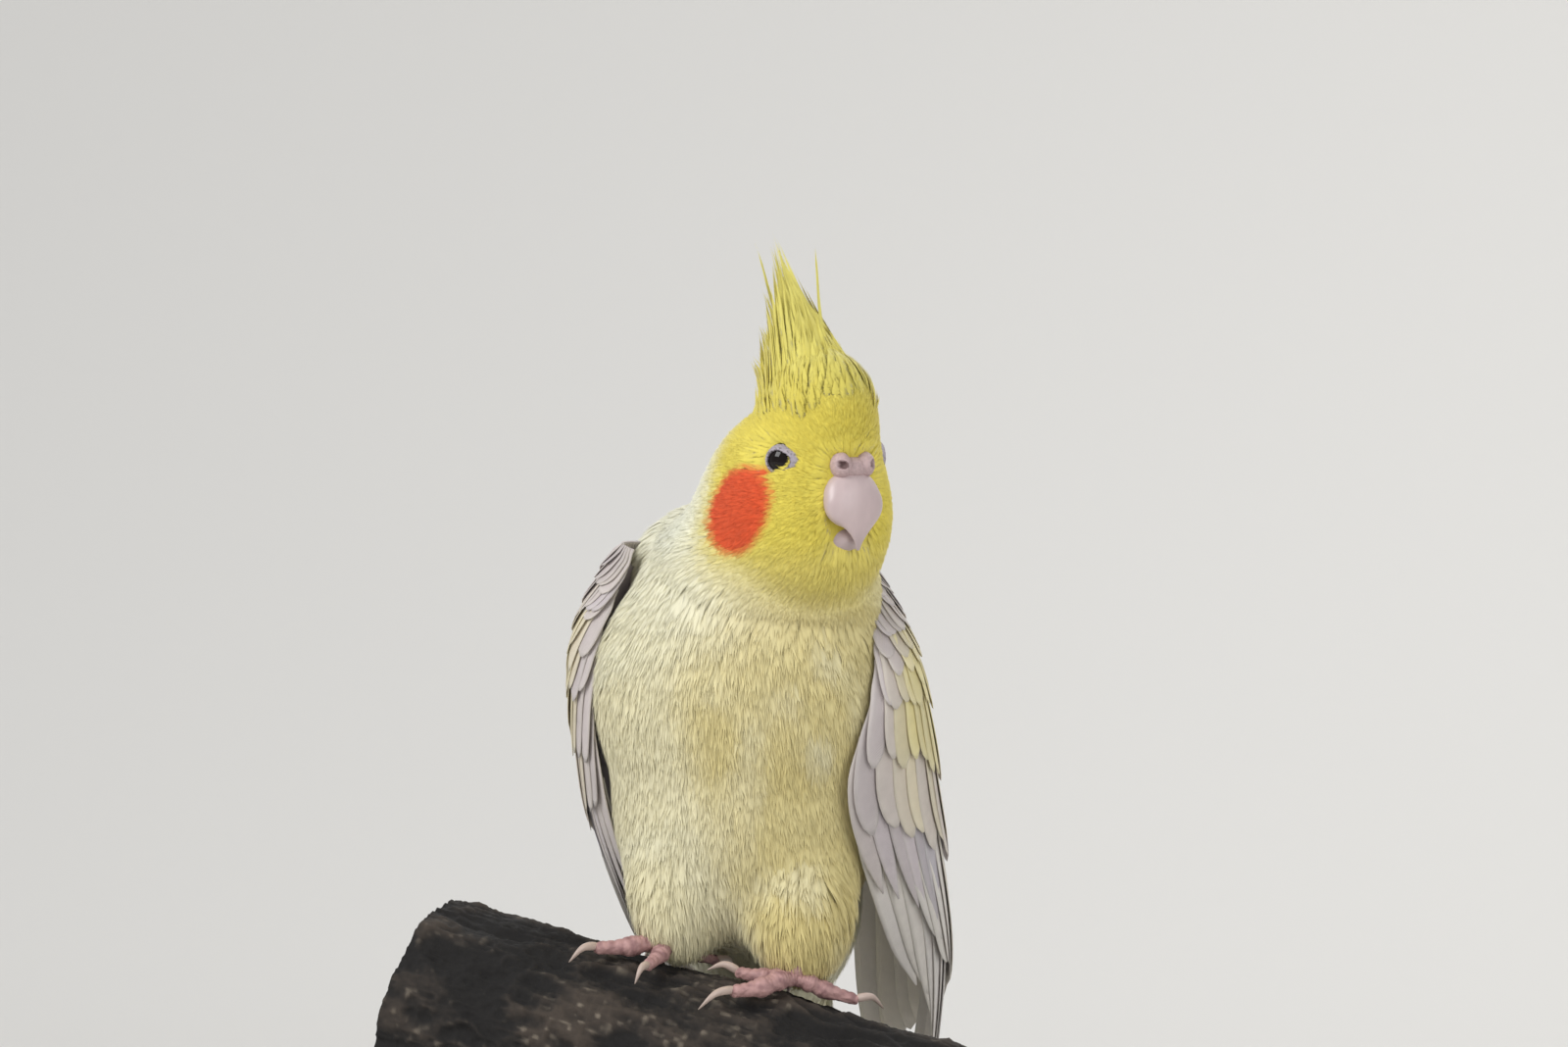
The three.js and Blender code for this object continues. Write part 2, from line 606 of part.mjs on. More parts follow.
const TOE_LIFT = 0.35; // a toe's underside over the round log
const SHANK_TOP = { side: 14.5, y: 11, z: 21 }; // where a shank ends inside its thigh
const ankleOf = (foot) => onBranch(foot.ankle[0], foot.ankle[1], 5.2);

// A toe swells at each pad, and its path lies on the branch.
function toe(foot, t, grown) {
  const h = t.radius + TOE_LIFT;
  const path = line(
    onBranch(foot.ankle[0], foot.ankle[1], 3.6),
    onBranch(mix(foot.ankle[0], t.mid[0], 0.5), mix(foot.ankle[1], t.mid[1], 0.5), h + 1.1),
    onBranch(...t.mid, h + 0.4),
    onBranch(...t.end, h),
  );
  const pads = (x) => t.radius * (1 + 0.12 * Math.cos(6 * Math.PI * x)) * mix(1.1, 0.92, x);
  return limb(path, (x) => [pads(x), pads(x)], branchUp, 7, 8, grown);
}

function claw(t, grown) {
  const h = t.radius + TOE_LIFT;
  const [x, a] = t.end;
  const path = line(
    onBranch(x - t.claw[0] * 0.12, a - t.claw[1] * 0.12, h + 0.3),
    onBranch(x + t.claw[0] * 0.45, a + t.claw[1] * 0.45, h + 1.5),
    onBranch(x + t.claw[0], a + t.claw[1], h + 0.1),
  );
  return limb(path, (s) => [mix(1.1, 0.25, s), mix(1.25, 0.25, s)], branchUp, 5, 6, grown);
}

// The scaled shank from the ankle up into the thigh's feathers.
function shank(foot, side, grown) {
  const top = V(side * SHANK_TOP.side + (side > 0 ? 1 : 0), SHANK_TOP.y, SHANK_TOP.z);
  const path = line(onBranch(foot.ankle[0], foot.ankle[1], 3.4), ankleOf(foot).lerp(top, 0.25), top);
  return limb(path, (t) => [mix(2.6, 2, t), mix(2.7, 2.1, t)], V(0, 1, 0), 8, 5, grown);
}

const footSolid = (foot, side, grown) =>
  unite([shank(foot, side, grown), ...foot.toes.map((t) => toe(foot, t, grown))]);

// Materials
const paint = (color, roughness) => new THREE.MeshStandardMaterial({ color, roughness });
const MATERIALS = {
  face: paint("#d9cb53", 0.9),
  plumage: paint("#ddd29a", 0.95),
  wing: paint("#c3bbbd", 0.85),
  tail: paint("#d8cf9a", 0.85),
  eye: paint("#17100e", 0.05),
  bill: paint("#b7a5a2", 0.45),
  cere: paint("#c0a09c", 0.7),
  foot: paint("#b98480", 0.7),
  claw: paint("#c9b6a6", 0.4),
  bark: paint("#3a322c", 0.95),
  base: paint("#4b3424", 0.5),
  rod: paint("#a89668", 0.35),
};

const bird = new THREE.Group();
const add = (name, solid, material) => bird.add(toMesh(name, solid, material));

// Head, neck and torso are one form, parted by two thin cuts.
const GRID = [20, 25]; // round and along
const whole = bodySolid(0, ...GRID);
const grownBody = bodySolid(GAP * 1.3, ...GRID);
const HEAD_CUT = { at: inHead(14, 0, -28), way: headAxes.u.clone().multiplyScalar(0.8) };
HEAD_CUT.way.addScaledVector(headAxes.f, 0.6);
const NECK_CUT = { at: V(6, 8, 71), way: V(-0.12, -0.06, 1).addScaledVector(headAxes.f, 0.2) };
const [headForm, below] = parted(whole, HEAD_CUT.at, HEAD_CUT.way);
const [neckForm, torsoForm] = parted(below, NECK_CUT.at, NECK_CUT.way);

const SIDES = [["left", 1], ["right", -1]];
const bothSides = (make) => SIDES.map(([, side]) => make(side));
const eyeHoles = unite(bothSides((side) => eye(side, GAP)));
const billHoles = unite([billUpper(GAP), billLower(GAP), cere(GAP)]);
const feathered = unite([headForm, ...bothSides(lids), ...crestFeathers(), loneFeather()]);
add("head", feathered.subtract(eyeHoles).subtract(billHoles), MATERIALS.face);
for (const [name, side] of SIDES) add(`eye_${name}`, eye(side, 0), MATERIALS.eye);
add("bill_upper", billUpper(0), MATERIALS.bill);
add("bill_lower", billLower(0).subtract(billUpper(GAP)), MATERIALS.bill);
add("cere", cere(0).subtract(unite(bothSides(nostril))).subtract(billUpper(GAP)), MATERIALS.cere);
add("neck", neckForm, MATERIALS.plumage);

const sideOf = (foot) => (foot.name === "left" ? 1 : -1);
const feetGrown = unite([
  ...FEET.map((foot) => footSolid(foot, sideOf(foot), GAP)),
  ...FEET.flatMap((foot) => foot.toes.map((t) => claw(t, GAP))),
]);

// Legs: thighs are parted from the torso by their own outline, and shanks rise into them.
const thighOf = (side) => ball(V(side * 15, 10, 17 - side * 1.5), [10, 11.5, 14], leaning(0));
const tailSocket = tailFlesh(GAP * 1.6);
let torso = torsoForm.subtract(tailSocket).subtract(feetGrown);
for (const foot of FEET) {
  const side = sideOf(foot);
  const thigh = thighOf(side);
  torso = torso.subtract(blob(thigh, 12, 7, GAP));
  const thighForm = blob(thigh, 12, 7).intersect(whole).subtract(feetGrown);
  add(`thigh_${foot.name}`, thighForm, MATERIALS.plumage);
  const claws = foot.toes.map((t) => claw(t, GAP));
  add(`foot_${foot.name}`, footSolid(foot, side, 0).subtract(unite(claws)), MATERIALS.foot);
  for (const t of foot.toes) add(`claw_${foot.name}_${t.name}`, claw(t, 0), MATERIALS.claw);
}
add("torso", torso, MATERIALS.plumage);
add("tail", tail().subtract(grownBody.subtract(tailSocket)), MATERIALS.tail);
for (const [name, side] of SIDES) {
  const feathers = wing(side, WING_LINES[name]);
  add(`wing_${name}`, feathers.subtract(grownBody).subtract(tailSocket), MATERIALS.wing);
}

// Branch, cut clear of the feet and the body, on a rod that stands in the base.
const floor = -FEET_HEIGHT;
const ROD_IN_BASE = 7;
const ROD_IN_BRANCH = 12;
const rodFoot = floor + BASE.height - ROD_IN_BASE;
const rodTop = branchMiddle.z - BRANCH.radius + ROD_IN_BRANCH;
const upright = (radius, low, high, segments) => {
  const geometry = new THREE.CylinderGeometry(radius, radius, high - low, segments);
  geometry.rotateX(Math.PI / 2).translate(branchMiddle.x, branchMiddle.y, (low + high) / 2);
  return toSolid(geometry);
};
const socket = upright(ROD_RADIUS + GAP, rodFoot - GAP, rodTop + GAP, 16);
add("stand_perch_branch", branch().subtract(feetGrown).subtract(grownBody).subtract(socket), MATERIALS.bark);
add("stand_rod", upright(ROD_RADIUS, rodFoot, rodTop, 16), MATERIALS.rod);
const profile = [
  [0, 0],
  [BASE.radius, 0],
  [BASE.radius, BASE.height - BASE.bevel],
  [BASE.radius - BASE.bevel, BASE.height],
  [0, BASE.height],
].map(([r, z]) => new THREE.Vector2(r, z));
const disc = new THREE.LatheGeometry(profile, 30);
disc.rotateX(Math.PI / 2).translate(0, -FEET_BACK, floor);
add("stand_base", toSolid(disc).subtract(socket), MATERIALS.base);

bird.position.set(0, FEET_BACK, FEET_HEIGHT);
const part = new THREE.Group();
part.add(bird);
export default part;
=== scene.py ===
"""The look of a life-size cockatiel on a cut length of branch: skin, feathers, bark, stand and light.

Shapes are worked out in millimetres in the bird's own frame, whose origin is between the feet on top
of the branch: +Z is up, the breast faces -Y and the bird's left is +X. to_row() carries them over.
"""

import math

import bpy
import numpy as np
from mathutils import Matrix, Vector


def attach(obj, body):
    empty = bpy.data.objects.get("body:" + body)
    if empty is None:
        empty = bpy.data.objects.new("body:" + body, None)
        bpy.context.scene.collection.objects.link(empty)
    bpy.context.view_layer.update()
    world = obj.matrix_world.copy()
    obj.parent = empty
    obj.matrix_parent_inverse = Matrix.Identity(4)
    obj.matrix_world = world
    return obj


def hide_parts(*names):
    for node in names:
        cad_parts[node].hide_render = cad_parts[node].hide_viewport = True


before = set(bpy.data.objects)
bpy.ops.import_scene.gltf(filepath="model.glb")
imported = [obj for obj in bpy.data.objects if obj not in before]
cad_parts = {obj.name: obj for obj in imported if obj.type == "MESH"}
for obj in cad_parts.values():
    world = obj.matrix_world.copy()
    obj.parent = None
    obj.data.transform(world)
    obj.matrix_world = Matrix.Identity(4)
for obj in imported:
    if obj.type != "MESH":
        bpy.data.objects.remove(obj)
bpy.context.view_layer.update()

MM = 0.001
ORIGIN = np.array([0.0, -14.0, 166.0])
PATCH = 0.003  # how much of the unwrapped skin one feather's colour takes up
DENSITY = 1.0  # share of the small feathers that are made


def to_row(points):
    """The bird's frame in millimetres, moved to the row's frame in metres."""
    return (np.asarray(points, float) + ORIGIN) * MM


# Small sums

def unit(v):
    """Directions of length 1."""
    return v / np.maximum(np.linalg.norm(v, axis=-1, keepdims=True), 1e-12)


def mix(a, b, t):
    """From a at t 0 to b at t 1."""
    return a + (b - a) * t


def ease(x, low, high):
    """0 below low, 1 above high and a smooth rise between them."""
    t = np.clip((x - low) / (high - low), 0, 1)
    return t * t * (3 - 2 * t)


def dot(a, b):
    """Dot products that keep their last axis."""
    return (a * b).sum(-1, keepdims=True)


def path(*points):
    """A smooth line through the points, as a function of a share from 0 to 1 along it.

    Each span is a cubic whose slope at a point is half the step between that point's neighbours.
    """
    p = np.asarray(points, float)
    p = np.vstack([2 * p[0] - p[1], p, 2 * p[-1] - p[-2]])

    def at(t):
        x = np.clip(np.asarray(t, float), 0, 1) * (len(p) - 3)
        i = np.minimum(x.astype(int), len(p) - 4)
        w = (x - i)[..., None]
        a, b, c, d = p[i], p[i + 1], p[i + 2], p[i + 3]
        m, n = (c - a) / 2, (d - b) / 2
        return b + m * w + (3 * (c - b) - 2 * m - n) * w**2 + (2 * (b - c) + m + n) * w**3

    return at


def heading(line, t, step=0.02):
    """The way a line runs at each share t."""
    return unit(line(np.minimum(1, t + step)) - line(np.maximum(0, t - step)))


def lattice(x, y, seed, wrap_x=0):
    """Smooth noise from -1 to 1: random heights on a unit grid, eased between its points."""
    size = 64
    table = np.random.default_rng(seed).uniform(-1, 1, (size, size))
    i, j = np.floor(x).astype(int), np.floor(y).astype(int)
    u, v = ease(x - i, 0, 1), ease(y - j, 0, 1)
    over = wrap_x or size
    i0, i1 = i % over % size, (i + 1) % over % size
    j0, j1 = j % size, (j + 1) % size
    return mix(mix(table[i0, j0], table[i1, j0], u), mix(table[i0, j1], table[i1, j1], u), v)


# Colours

def linear(code):
    """A six-digit colour code as linear red, green and blue."""
    c = np.array([int(code[i:i + 2], 16) / 255 for i in (1, 3, 5)])
    return np.where(c <= 0.04045, c / 12.92, ((c + 0.055) / 1.055) ** 2.4)


FACE = linear("#dac94f")
CROWN = linear("#ddd470")
CHEEK = linear("#d84c14")
WHITE = linear("#e6e6d4")
CREAM = linear("#d4c68c")
BUFF = linear("#c9b66c")
LAVENDER = linear("#bdb3b6")
PALE_VANE = linear("#d5cfcb")
TAIL_CREAM = linear("#d8cc95")


# Materials

def material(name, roughness, color="#808080", **settings):
    """A new material; settings are the shader's own sockets, with underscores for spaces."""
    made = bpy.data.materials.new(name)
    made.use_nodes = True
    shader = made.node_tree.nodes["Principled BSDF"]
    shader.inputs["Base Color"].default_value = (*linear(color), 1)
    shader.inputs["Roughness"].default_value = roughness
    for key, value in settings.items():
        shader.inputs[key.replace("_", " ")].default_value = value
    return made


def node(made, kind, settings=None, *sources, **links):
    """Adds a node. settings are its properties or its inputs' values, sources feed its first inputs
    in order, and links feed its inputs by name."""
    added = made.node_tree.nodes.new(kind)
    for key, value in (settings or {}).items():
        if isinstance(key, str) and hasattr(added, key):
            setattr(added, key, value)
        else:
            added.inputs[key].default_value = value
    for key, source in [*enumerate(sources), *links.items()]:
        made.node_tree.links.new(source, added.inputs[key])
    return added


def feed(made, socket, source):
    """Links a source to a socket of the material's shader."""
    made.node_tree.links.new(source, made.node_tree.nodes["Principled BSDF"].inputs[socket])


def mottled(made, scale, stretch, amount=0.25, detail=3.0):
    """Colour from the tint attribute, mottled by noise. Returns the noise."""
    tint = node(made, "ShaderNodeAttribute", {"attribute_name": "tint"})
    where = node(made, "ShaderNodeTexCoord")
    scaled = node(made, "ShaderNodeMapping", {"Scale": stretch}, Vector=where.outputs["Object"])
    fine = {"Scale": scale, "Detail": detail}
    noise = node(made, "ShaderNodeTexNoise", fine, Vector=scaled.outputs[0])
    span = {"To Min": 1 - amount, "To Max": 1 + amount}
    shade = node(made, "ShaderNodeMapRange", span, Value=noise.outputs[0])
    product = node(made, "ShaderNodeVectorMath", {"operation": "MULTIPLY"},
                   tint.outputs["Color"], shade.outputs[0])
    feed(made, "Base Color", product.outputs[0])
    return noise.outputs[0]


def tinted(made, strength, scale, stretch, *mottle):
    """Mottled colour, with its noise as a bump too."""
    noise = mottled(made, scale, stretch, *mottle)
    bump = node(made, "ShaderNodeBump", {"Strength": strength, "Distance": 0.0003}, Height=noise)
    feed(made, "Normal", bump.outputs[0])


# Meshes

def mesh(name, points, faces, look, tint=None, uv=None, bake=None):
    """A mesh in the row's frame. faces is a list of index arrays, three or four corners a face."""
    data = bpy.data.meshes.new(name)
    corners = np.concatenate([f.ravel() for f in faces])
    sizes = np.concatenate([np.full(len(f), f.shape[1]) for f in faces])
    data.vertices.add(len(points))
    data.vertices.foreach_set("co", to_row(points).ravel())
    data.loops.add(len(corners))
    data.loops.foreach_set("vertex_index", corners.astype(np.int32))
    data.polygons.add(len(sizes))
    starts = np.concatenate([[0], np.cumsum(sizes)[:-1]])
    data.polygons.foreach_set("loop_start", starts.astype(np.int32))
    data.polygons.foreach_set("use_smooth", np.ones(len(sizes), bool))
    for key, values in (("OFBake", bake), ("vane", uv)):
        if values is not None:
            layer = data.uv_layers.new(name=key)
            layer.data.foreach_set("uv", np.asarray(values, float)[corners].ravel())
    if tint is not None:
        colors = np.ones((len(points), 4))
        colors[:, :3] = np.clip(tint, 0, 1)
        layer = data.attributes.new("tint", "FLOAT_COLOR", "POINT")
        layer.data.foreach_set("color", colors.ravel())
    data.materials.append(look)
    data.update()
    data.validate()
    made = bpy.data.objects.new(name, data)
    bpy.context.collection.objects.link(made)
    return made


def piece(name, points, faces, look, slot, replaced=(), **layers):
    """A mesh that rides the part's one body and shows in place of the solids named in replaced."""
    made = mesh(name, points, faces, look, **layers)
    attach(made, "root")
    if replaced:
        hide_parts(*replaced)


def shares(rows, cols, low=0.01, high=0.99):
    """Shares v down a grid's rows, from low to high, and u round its columns."""
    return np.meshgrid(np.linspace(low, high, rows), np.arange(cols) / cols, indexing="ij")


def grid_faces(rows, cols, wrap_rows=False, wrap_cols=True):
    """Four-cornered faces between neighbours of a grid of points."""
    i = np.arange(rows if wrap_rows else rows - 1)[:, None]
    j = np.arange(cols if wrap_cols else cols - 1)[None]
    a, b = i * cols + j, i * cols + (j + 1) % cols
    c, d = (i + 1) % rows * cols + (j + 1) % cols, (i + 1) % rows * cols + j
    return np.stack([a, b, c, d], -1).reshape(-1, 4)


def closed(rings):
    """A tube through rings of points, shape (rows, around, 3), fanned shut at both ends."""
    rows, cols = rings.shape[:2]
    points = np.vstack([rings.reshape(-1, 3), rings[0].mean(0), rings[-1].mean(0)])
    total, j = rows * cols, np.arange(cols)
    k = (j + 1) % cols
    first = np.stack([np.full(cols, total), k, j], -1)
    last = np.stack([np.full(cols, total + 1), total - cols + j, total - cols + k], -1)
    faces = [grid_faces(rows, cols), first, last]
    return points, faces if outward(points, faces) else [f[:, ::-1] for f in faces]


def outward(points, faces):
    """Whether closed faces look out: the volumes between them and the middle add up to more than 0."""
    p = points - points.mean(0)
    total = 0
    for f in faces:
        for k in range(1, f.shape[1] - 1):
            total += (p[f[:, 0]] * np.cross(p[f[:, k]], p[f[:, k + 1]])).sum()
    return total > 0


def joined(parts):
    """Several (points, faces, ...values per point) as one."""
    start, faces = 0, []
    for part in parts:
        faces += [f + start for f in part[1]]
        start += len(part[0])
    columns = [np.concatenate([part[k] for part in parts]) for k in range(len(parts[0])) if k != 1]
    return columns[0], faces, *columns[1:]


# The head's frame: forward along the bill, left and up
TURN = math.radians(49)
HEAD = np.array([18.5, -2.0, 105.5])
HEAD_AXES = np.array([
    [math.sin(TURN), -math.cos(TURN), 0],
    [math.cos(TURN), math.sin(TURN), 0],
    [0, 0, 1],
])
FORWARD, LEFT, UP = HEAD_AXES


def in_head(f, l, u):
    """The point f forward, l left and u up in the head's frame."""
    return HEAD + np.stack(np.broadcast_arrays(f, l, u), -1) @ HEAD_AXES


def head_place(p):
    """How far forward, left and up points lie in the head's frame."""
    return np.moveaxis((p - HEAD) @ HEAD_AXES.T, -1, 0)


def leaning(degrees):
    """Axes whose top leans back by so many degrees."""
    a = math.radians(degrees)
    return np.array([[1, 0, 0], [0, math.cos(a), math.sin(a)], [0, -math.sin(a), math.cos(a)]])


# Balls of flesh that melt into one another: centre, half sizes, axes
FLESH = [
    ((2.5, 10, 56), (32, 25, 31), leaning(20)),
    ((1.5, 17, 32), (28.3, 25, 29.5), leaning(24)),
    ((0, 34, 12), (21, 17, 28), leaning(28)),
    ((0, 50, -12), (10.5, 8, 24), leaning(28)),
    ((6, 8, 78), (23, 20, 20), leaning(10)),
    ((11, 5, 92), (16.5, 16.5, 19), leaning(6)),
    ((14, 7, 73), (18, 16, 16), leaning(10)),
    ((-4.2, 21.5, 80), (21, 13.2, 16), leaning(20)),
    ((-11, 6, 15), (9.8, 10.5, 15), leaning(0)),
    ((15.5, 7, 11), (11, 11, 15), leaning(0)),
    (in_head(-1.5, 0, -1.6), (18.5, 14.2, 13.4), HEAD_AXES),
    *[(in_head(2, l, -10.5), (13.5, 9.5, 12.5), HEAD_AXES) for l in (6.4, -6.4)],
    (in_head(6, 0, -18.5), (9.5, 11, 9), HEAD_AXES),
    (in_head(6.5, 0, 10), (12.5, 10.5, 13), HEAD_AXES),
]
MELT = 2.6


def outside(p):
    """About how far each point is outside the bird, below 0 inside.

    For one ball, k is the point's distance over the ball's size along each axis and the answer is
    k(k - 1) over that of k divided by the size once more. Together, the balls' answers d melt as
    minus MELT times the log of the sum of exp(-d / MELT).
    """
    total = 0
    for centre, sizes, axes in FLESH:
        q = (p - np.asarray(centre)) @ axes.T / np.array(sizes)
        k0 = np.linalg.norm(q, axis=-1)
        k1 = np.linalg.norm(q / np.array(sizes), axis=-1)
        total = total + np.exp(-k0 * (k0 - 1) / np.maximum(k1, 1e-9) / MELT)
    return -MELT * np.log(total)


def normals_at(p):
    """The way out of the bird: the steepest rise of outside()."""
    e = 0.05
    return unit(np.stack([outside(p + e * d) - outside(p - e * d) for d in np.eye(3)], -1))


def coat_depth(p):
    """How deep the skin lies under the feathers' tips: thin on the face, deep on the belly."""
    f, l, u = head_place(p)
    face = ease(f + 0.25 * u, -16, 8) * ease(u, -34, -14)
    return mix(1.5, 0.7, face)


# From the rump up to the head. CAP is the share of the skin's rows that closes each end.
SPINE = path((0, 56, -22), (0, 38, 8), (0.5, 20, 34), (3, 10, 58), (8, 6, 80), (14, 2, 95),
             (19.5, -3, 106))
CAP = 0.14


def skin_rays(u, v):
    """Where rays start inside the bird and their way out: round the spine, and fanned at its ends."""
    share = np.clip((v - CAP) / (1 - 2 * CAP), 0, 1)
    along = heading(SPINE, share, 0.01)
    side = unit(np.array([1.0, 0, 0]) - along * along[..., :1])
    front = np.cross(side, along)
    tilt = np.where(v < CAP, v / CAP - 1, np.where(v > 1 - CAP, (v - 1) / CAP + 1, 0)) * math.pi / 2
    turn = 2 * math.pi * u
    ray = side * np.cos(turn)[..., None] + front * np.sin(turn)[..., None]
    return SPINE(share), ray * np.cos(tilt)[..., None] + along * np.sin(tilt)[..., None]


def cast(start, ray, level=0.0):
    """Walks each ray out until outside() is level, stepping by what is still missing."""
    reach = np.full(start.shape[:-1], 8.0)
    for _ in range(30):
        p = start + ray * reach[..., None]
        reach = np.clip(reach + 0.7 * (level - outside(p)), 0.5, 60)
    return start + ray * reach[..., None]


def skin_points(u, v):
    """The skin: as far inside the bird's outline as the coat is deep there."""
    start, ray = skin_rays(u, v)
    return cast(start, ray, -coat_depth(cast(start, ray)))


# Markings, and painted light on the lit side of the neck

def blotches(p, size, seed):
    """Soft patches from -1 to 1, by noise over the point's place."""
    x, y, z = np.moveaxis(p, -1, 0)
    return lattice(x / size + 0.7 * y / size, z / size + 0.5 * y / size + 20, seed)


def markings_and_painted_light(p):
    """Plumage colour: yellow face and crown, orange cheek, white nape, cream breast, yellow belly, and
    painted light that whitens the neck on the bird's right, where the key light falls.
    """
    f, l, u = head_place(p)
    color = np.broadcast_to(CREAM, p.shape).copy()

    def lay(tone, amount):
        color[:] = mix(color, tone, np.clip(amount, 0, 1)[..., None])

    lay(WHITE, 0.55 * ease(blotches(p, 9, 1), -0.2, 0.9))
    lay(BUFF, 0.5 * ease(blotches(p, 13, 2), 0, 0.9))
    lay(BUFF, 0.55 * ease(p[..., 2], 34, 6) * ease(p[..., 1], 30, 0))
    # Partly the real white of the upper breast and partly painted light: the white is stronger on the
    # bird's right side, where the key light falls
    lay(WHITE, 0.85 * ease(p[..., 0] + 0.8 * p[..., 1], 14, -14) * ease(p[..., 2], 58, 84))
    lay(WHITE, 0.75 * ease(p[..., 1], 18, 30))
    lay(FACE, ease(u + 0.35 * f + 0.6 * blotches(p, 7, 3), -29, -15) * ease(f, -19, -5))
    lay(CROWN, 0.7 * ease(u, 9, 22))
    lay(WHITE, 0.6 * ease(f, -3, -14) * ease(u, 12, -4))
    lay(CREAM, 0.3 * ease(u, -12, -21))
    spot = np.hypot((f - 1.9 - 0.2 * (u + 9)) / 8.6, (u + 8.6) / 8.9)
    lay(CHEEK, ease(spot, 1.12, 0.82) * ease(abs(l), 5, 9))
    return color


# Skin: one closed surface under the feathers of the head, neck, body and thighs

skin_look = material("skin_under_feathers", 0.8)
tinted(skin_look, 0.3, 900, (1, 1, 1), 0.15)
rows, cols = 220, 160
v, u = shares(rows, cols, 0.004, 0.996)
skin_grid = skin_points(u, v)
points, faces = closed(skin_grid)
# The skin is tinted a tenth darker than the plumage: painted shade in the gaps between the feathers
piece("skin", points, faces, skin_look, "cream_plumage",
      ("head", "neck", "torso", "thigh_left", "thigh_right"), tint=0.9 * markings_and_painted_light(points))


# Small feathers that cover the skin

def lie(p, n):
    """The way feathers point: from the bill back over the head, then down the body to the tail."""
    f, l, u = head_place(p)
    from_bill = unit(p - in_head(20, 0, -3))
    on_head = ease(u + 0.5 * f, -30, -16) * ease(f, -22, -10)
    rise = ease(u, 2, 12) * ease(f, -8, 6)
    on_crown = unit(0.9 * UP - 0.75 * FORWARD)
    down = unit(np.array([0, 0.3, -1.0]) + 0 * p)
    way = mix(down, mix(from_bill, on_crown, rise[..., None]), on_head[..., None])
    return unit(way - dot(way, n) * n)


def scattered(count, keep, rng):
    """Places over the skin, and where they lie on its unwrapping, spread by area: a patch of its grid
    is drawn as often as it is large."""
    g = np.concatenate([skin_grid, skin_grid[:, :1]], 1)
    a, b, c, d = g[:-1, :-1], g[:-1, 1:], g[1:, :-1], g[1:, 1:]
    area = np.linalg.norm(np.cross(b - a, c - a), axis=-1) * keep((a + d) / 2)
    cell = rng.choice(area.size, count, p=(area / area.sum()).ravel())
    i, j = np.unravel_index(cell, area.shape)
    x, y = rng.random((2, count, 1))
    place = mix(mix(a[i, j], b[i, j], x), mix(c[i, j], d[i, j], x), y)
    return place, (j + x[:, 0]) / area.shape[1], (i + y[:, 0]) / area.shape[0]


def fringed(middle, out, half, reach, rng):
    """Thin blades along their middle lines, shape (count, rows, 3), with a fringe of barbs.

    Each blade has its middle line and an edge at half a width to either side, drooped by an eighth
    of it. Each barb is a narrow triangle from a stretch of edge, and its tip leans forward by
    reach times that stretch. Returns the points (count, per blade, 3) and the faces.
    """
    count, rows = middle.shape[:2]
    along = unit(np.gradient(middle, axis=1))
    out = unit(out - dot(out, along) * along)
    side = np.cross(along, out)
    half = half[..., None]
    edges = [middle + sign * side * half - out * half / 8 for sign in (1, -1)]
    blade = np.stack([edges[0], middle, edges[1]], 2).reshape(count, -1, 3)
    step = np.linalg.norm(np.diff(middle, axis=1), axis=-1).mean(1)[:, None, None]
    tips = []
    for edge, sign in zip(edges, (1, -1)):
        ahead = along[:, 2:] * step * reach * rng.uniform(0.6, 1.4, (count, rows - 2, 1))
        aside = side[:, 2:] * sign * half[:, 2:] * rng.uniform(-0.5, 0.4, (count, rows - 2, 1))
        tips.append(edge[:, 2:] + ahead + aside)
    end = middle[:, -1:] + along[:, -1:] * step * reach * rng.uniform(0.5, 1.2, (count, 1, 1))
    points = np.concatenate([blade, *tips, end], 1)
    r = np.arange(rows - 1)[:, None] * 3
    quads = np.concatenate([r + [0, 1, 4, 3], r + [1, 2, 5, 4]])
    low, first, last = 3 * np.arange(1, rows - 1), 3 * rows, 3 * (rows - 1)
    k = np.arange(rows - 2)
    spikes = np.concatenate([
        np.stack([low, low + 3, first + k], -1),
        np.stack([low + 5, low + 2, first + rows - 2 + k], -1),
        [[last, last + 1, first + 2 * (rows - 2)], [last + 1, last + 2, first + 2 * (rows - 2)]],
    ])
    shift = (np.arange(count) * points.shape[1])[:, None, None]
    return points, [(quads + shift).reshape(-1, 4), (spikes + shift).reshape(-1, 3)]


def plumage(name, points, faces, tone, u, v, slot, rng):
    """Feathers as one piece: each has its own tone, and a small patch of the unwrapped skin about its
    root's place there."""
    count, per = points.shape[:2]
    patch = np.stack([u % 1.0, v], -1)[:, None] + PATCH / 2 * rng.uniform(-1, 1, (count, per, 2))
    piece(name, points.reshape(-1, 3), faces, down_look, slot,
          tint=np.repeat(tone, per, 0), bake=patch.reshape(-1, 2))


def coat(name, count, keep, length, width, slot, seed, lift):
    """Small feathers, each laid along the coat's own surface.

    A feather runs from its root in the skin. At share s along it, its height over the skin is the
    coat's depth times s to the power 0.6.
    """
    rng = np.random.default_rng(seed)
    root, u, v = scattered(count, keep, rng)
    n = normals_at(root)
    way = lie(root, n)
    way = unit(way + rng.normal(0, 0.12, (count, 1)) * np.cross(n, way))
    depth = coat_depth(root)[:, None]
    long = length(root) * rng.uniform(0.8, 1.15, count)
    wide = width * rng.uniform(0.8, 1.15, count)
    stand = lift * rng.uniform(0, 1, (count, 1))
    s = np.linspace(0, 1, 5)
    middle = root[:, None] + way[:, None] * (long[:, None] * s)[..., None]
    for _ in range(2):
        out = normals_at(middle)
        level = -depth + (depth + stand) * s**0.6
        middle = middle + out * (level - outside(middle))[..., None]
    half = wide[:, None] / 2 * np.array([0.5, 0.95, 1, 0.8, 0.4])
    points, faces = fringed(middle, out, half, 1.3, rng)
    tone = markings_and_painted_light(middle[:, 3]) * rng.normal(1, 0.045, (count, 1))
    plumage(name, points, faces, tone, u, v, slot, rng)


EYE_F, EYE_U, EYE_SINK, EYE_RADIUS = 8.1, 1.6, 3.1, 3.7
EYE_BARE = 3.8  # half the height of the bare ring, nearly


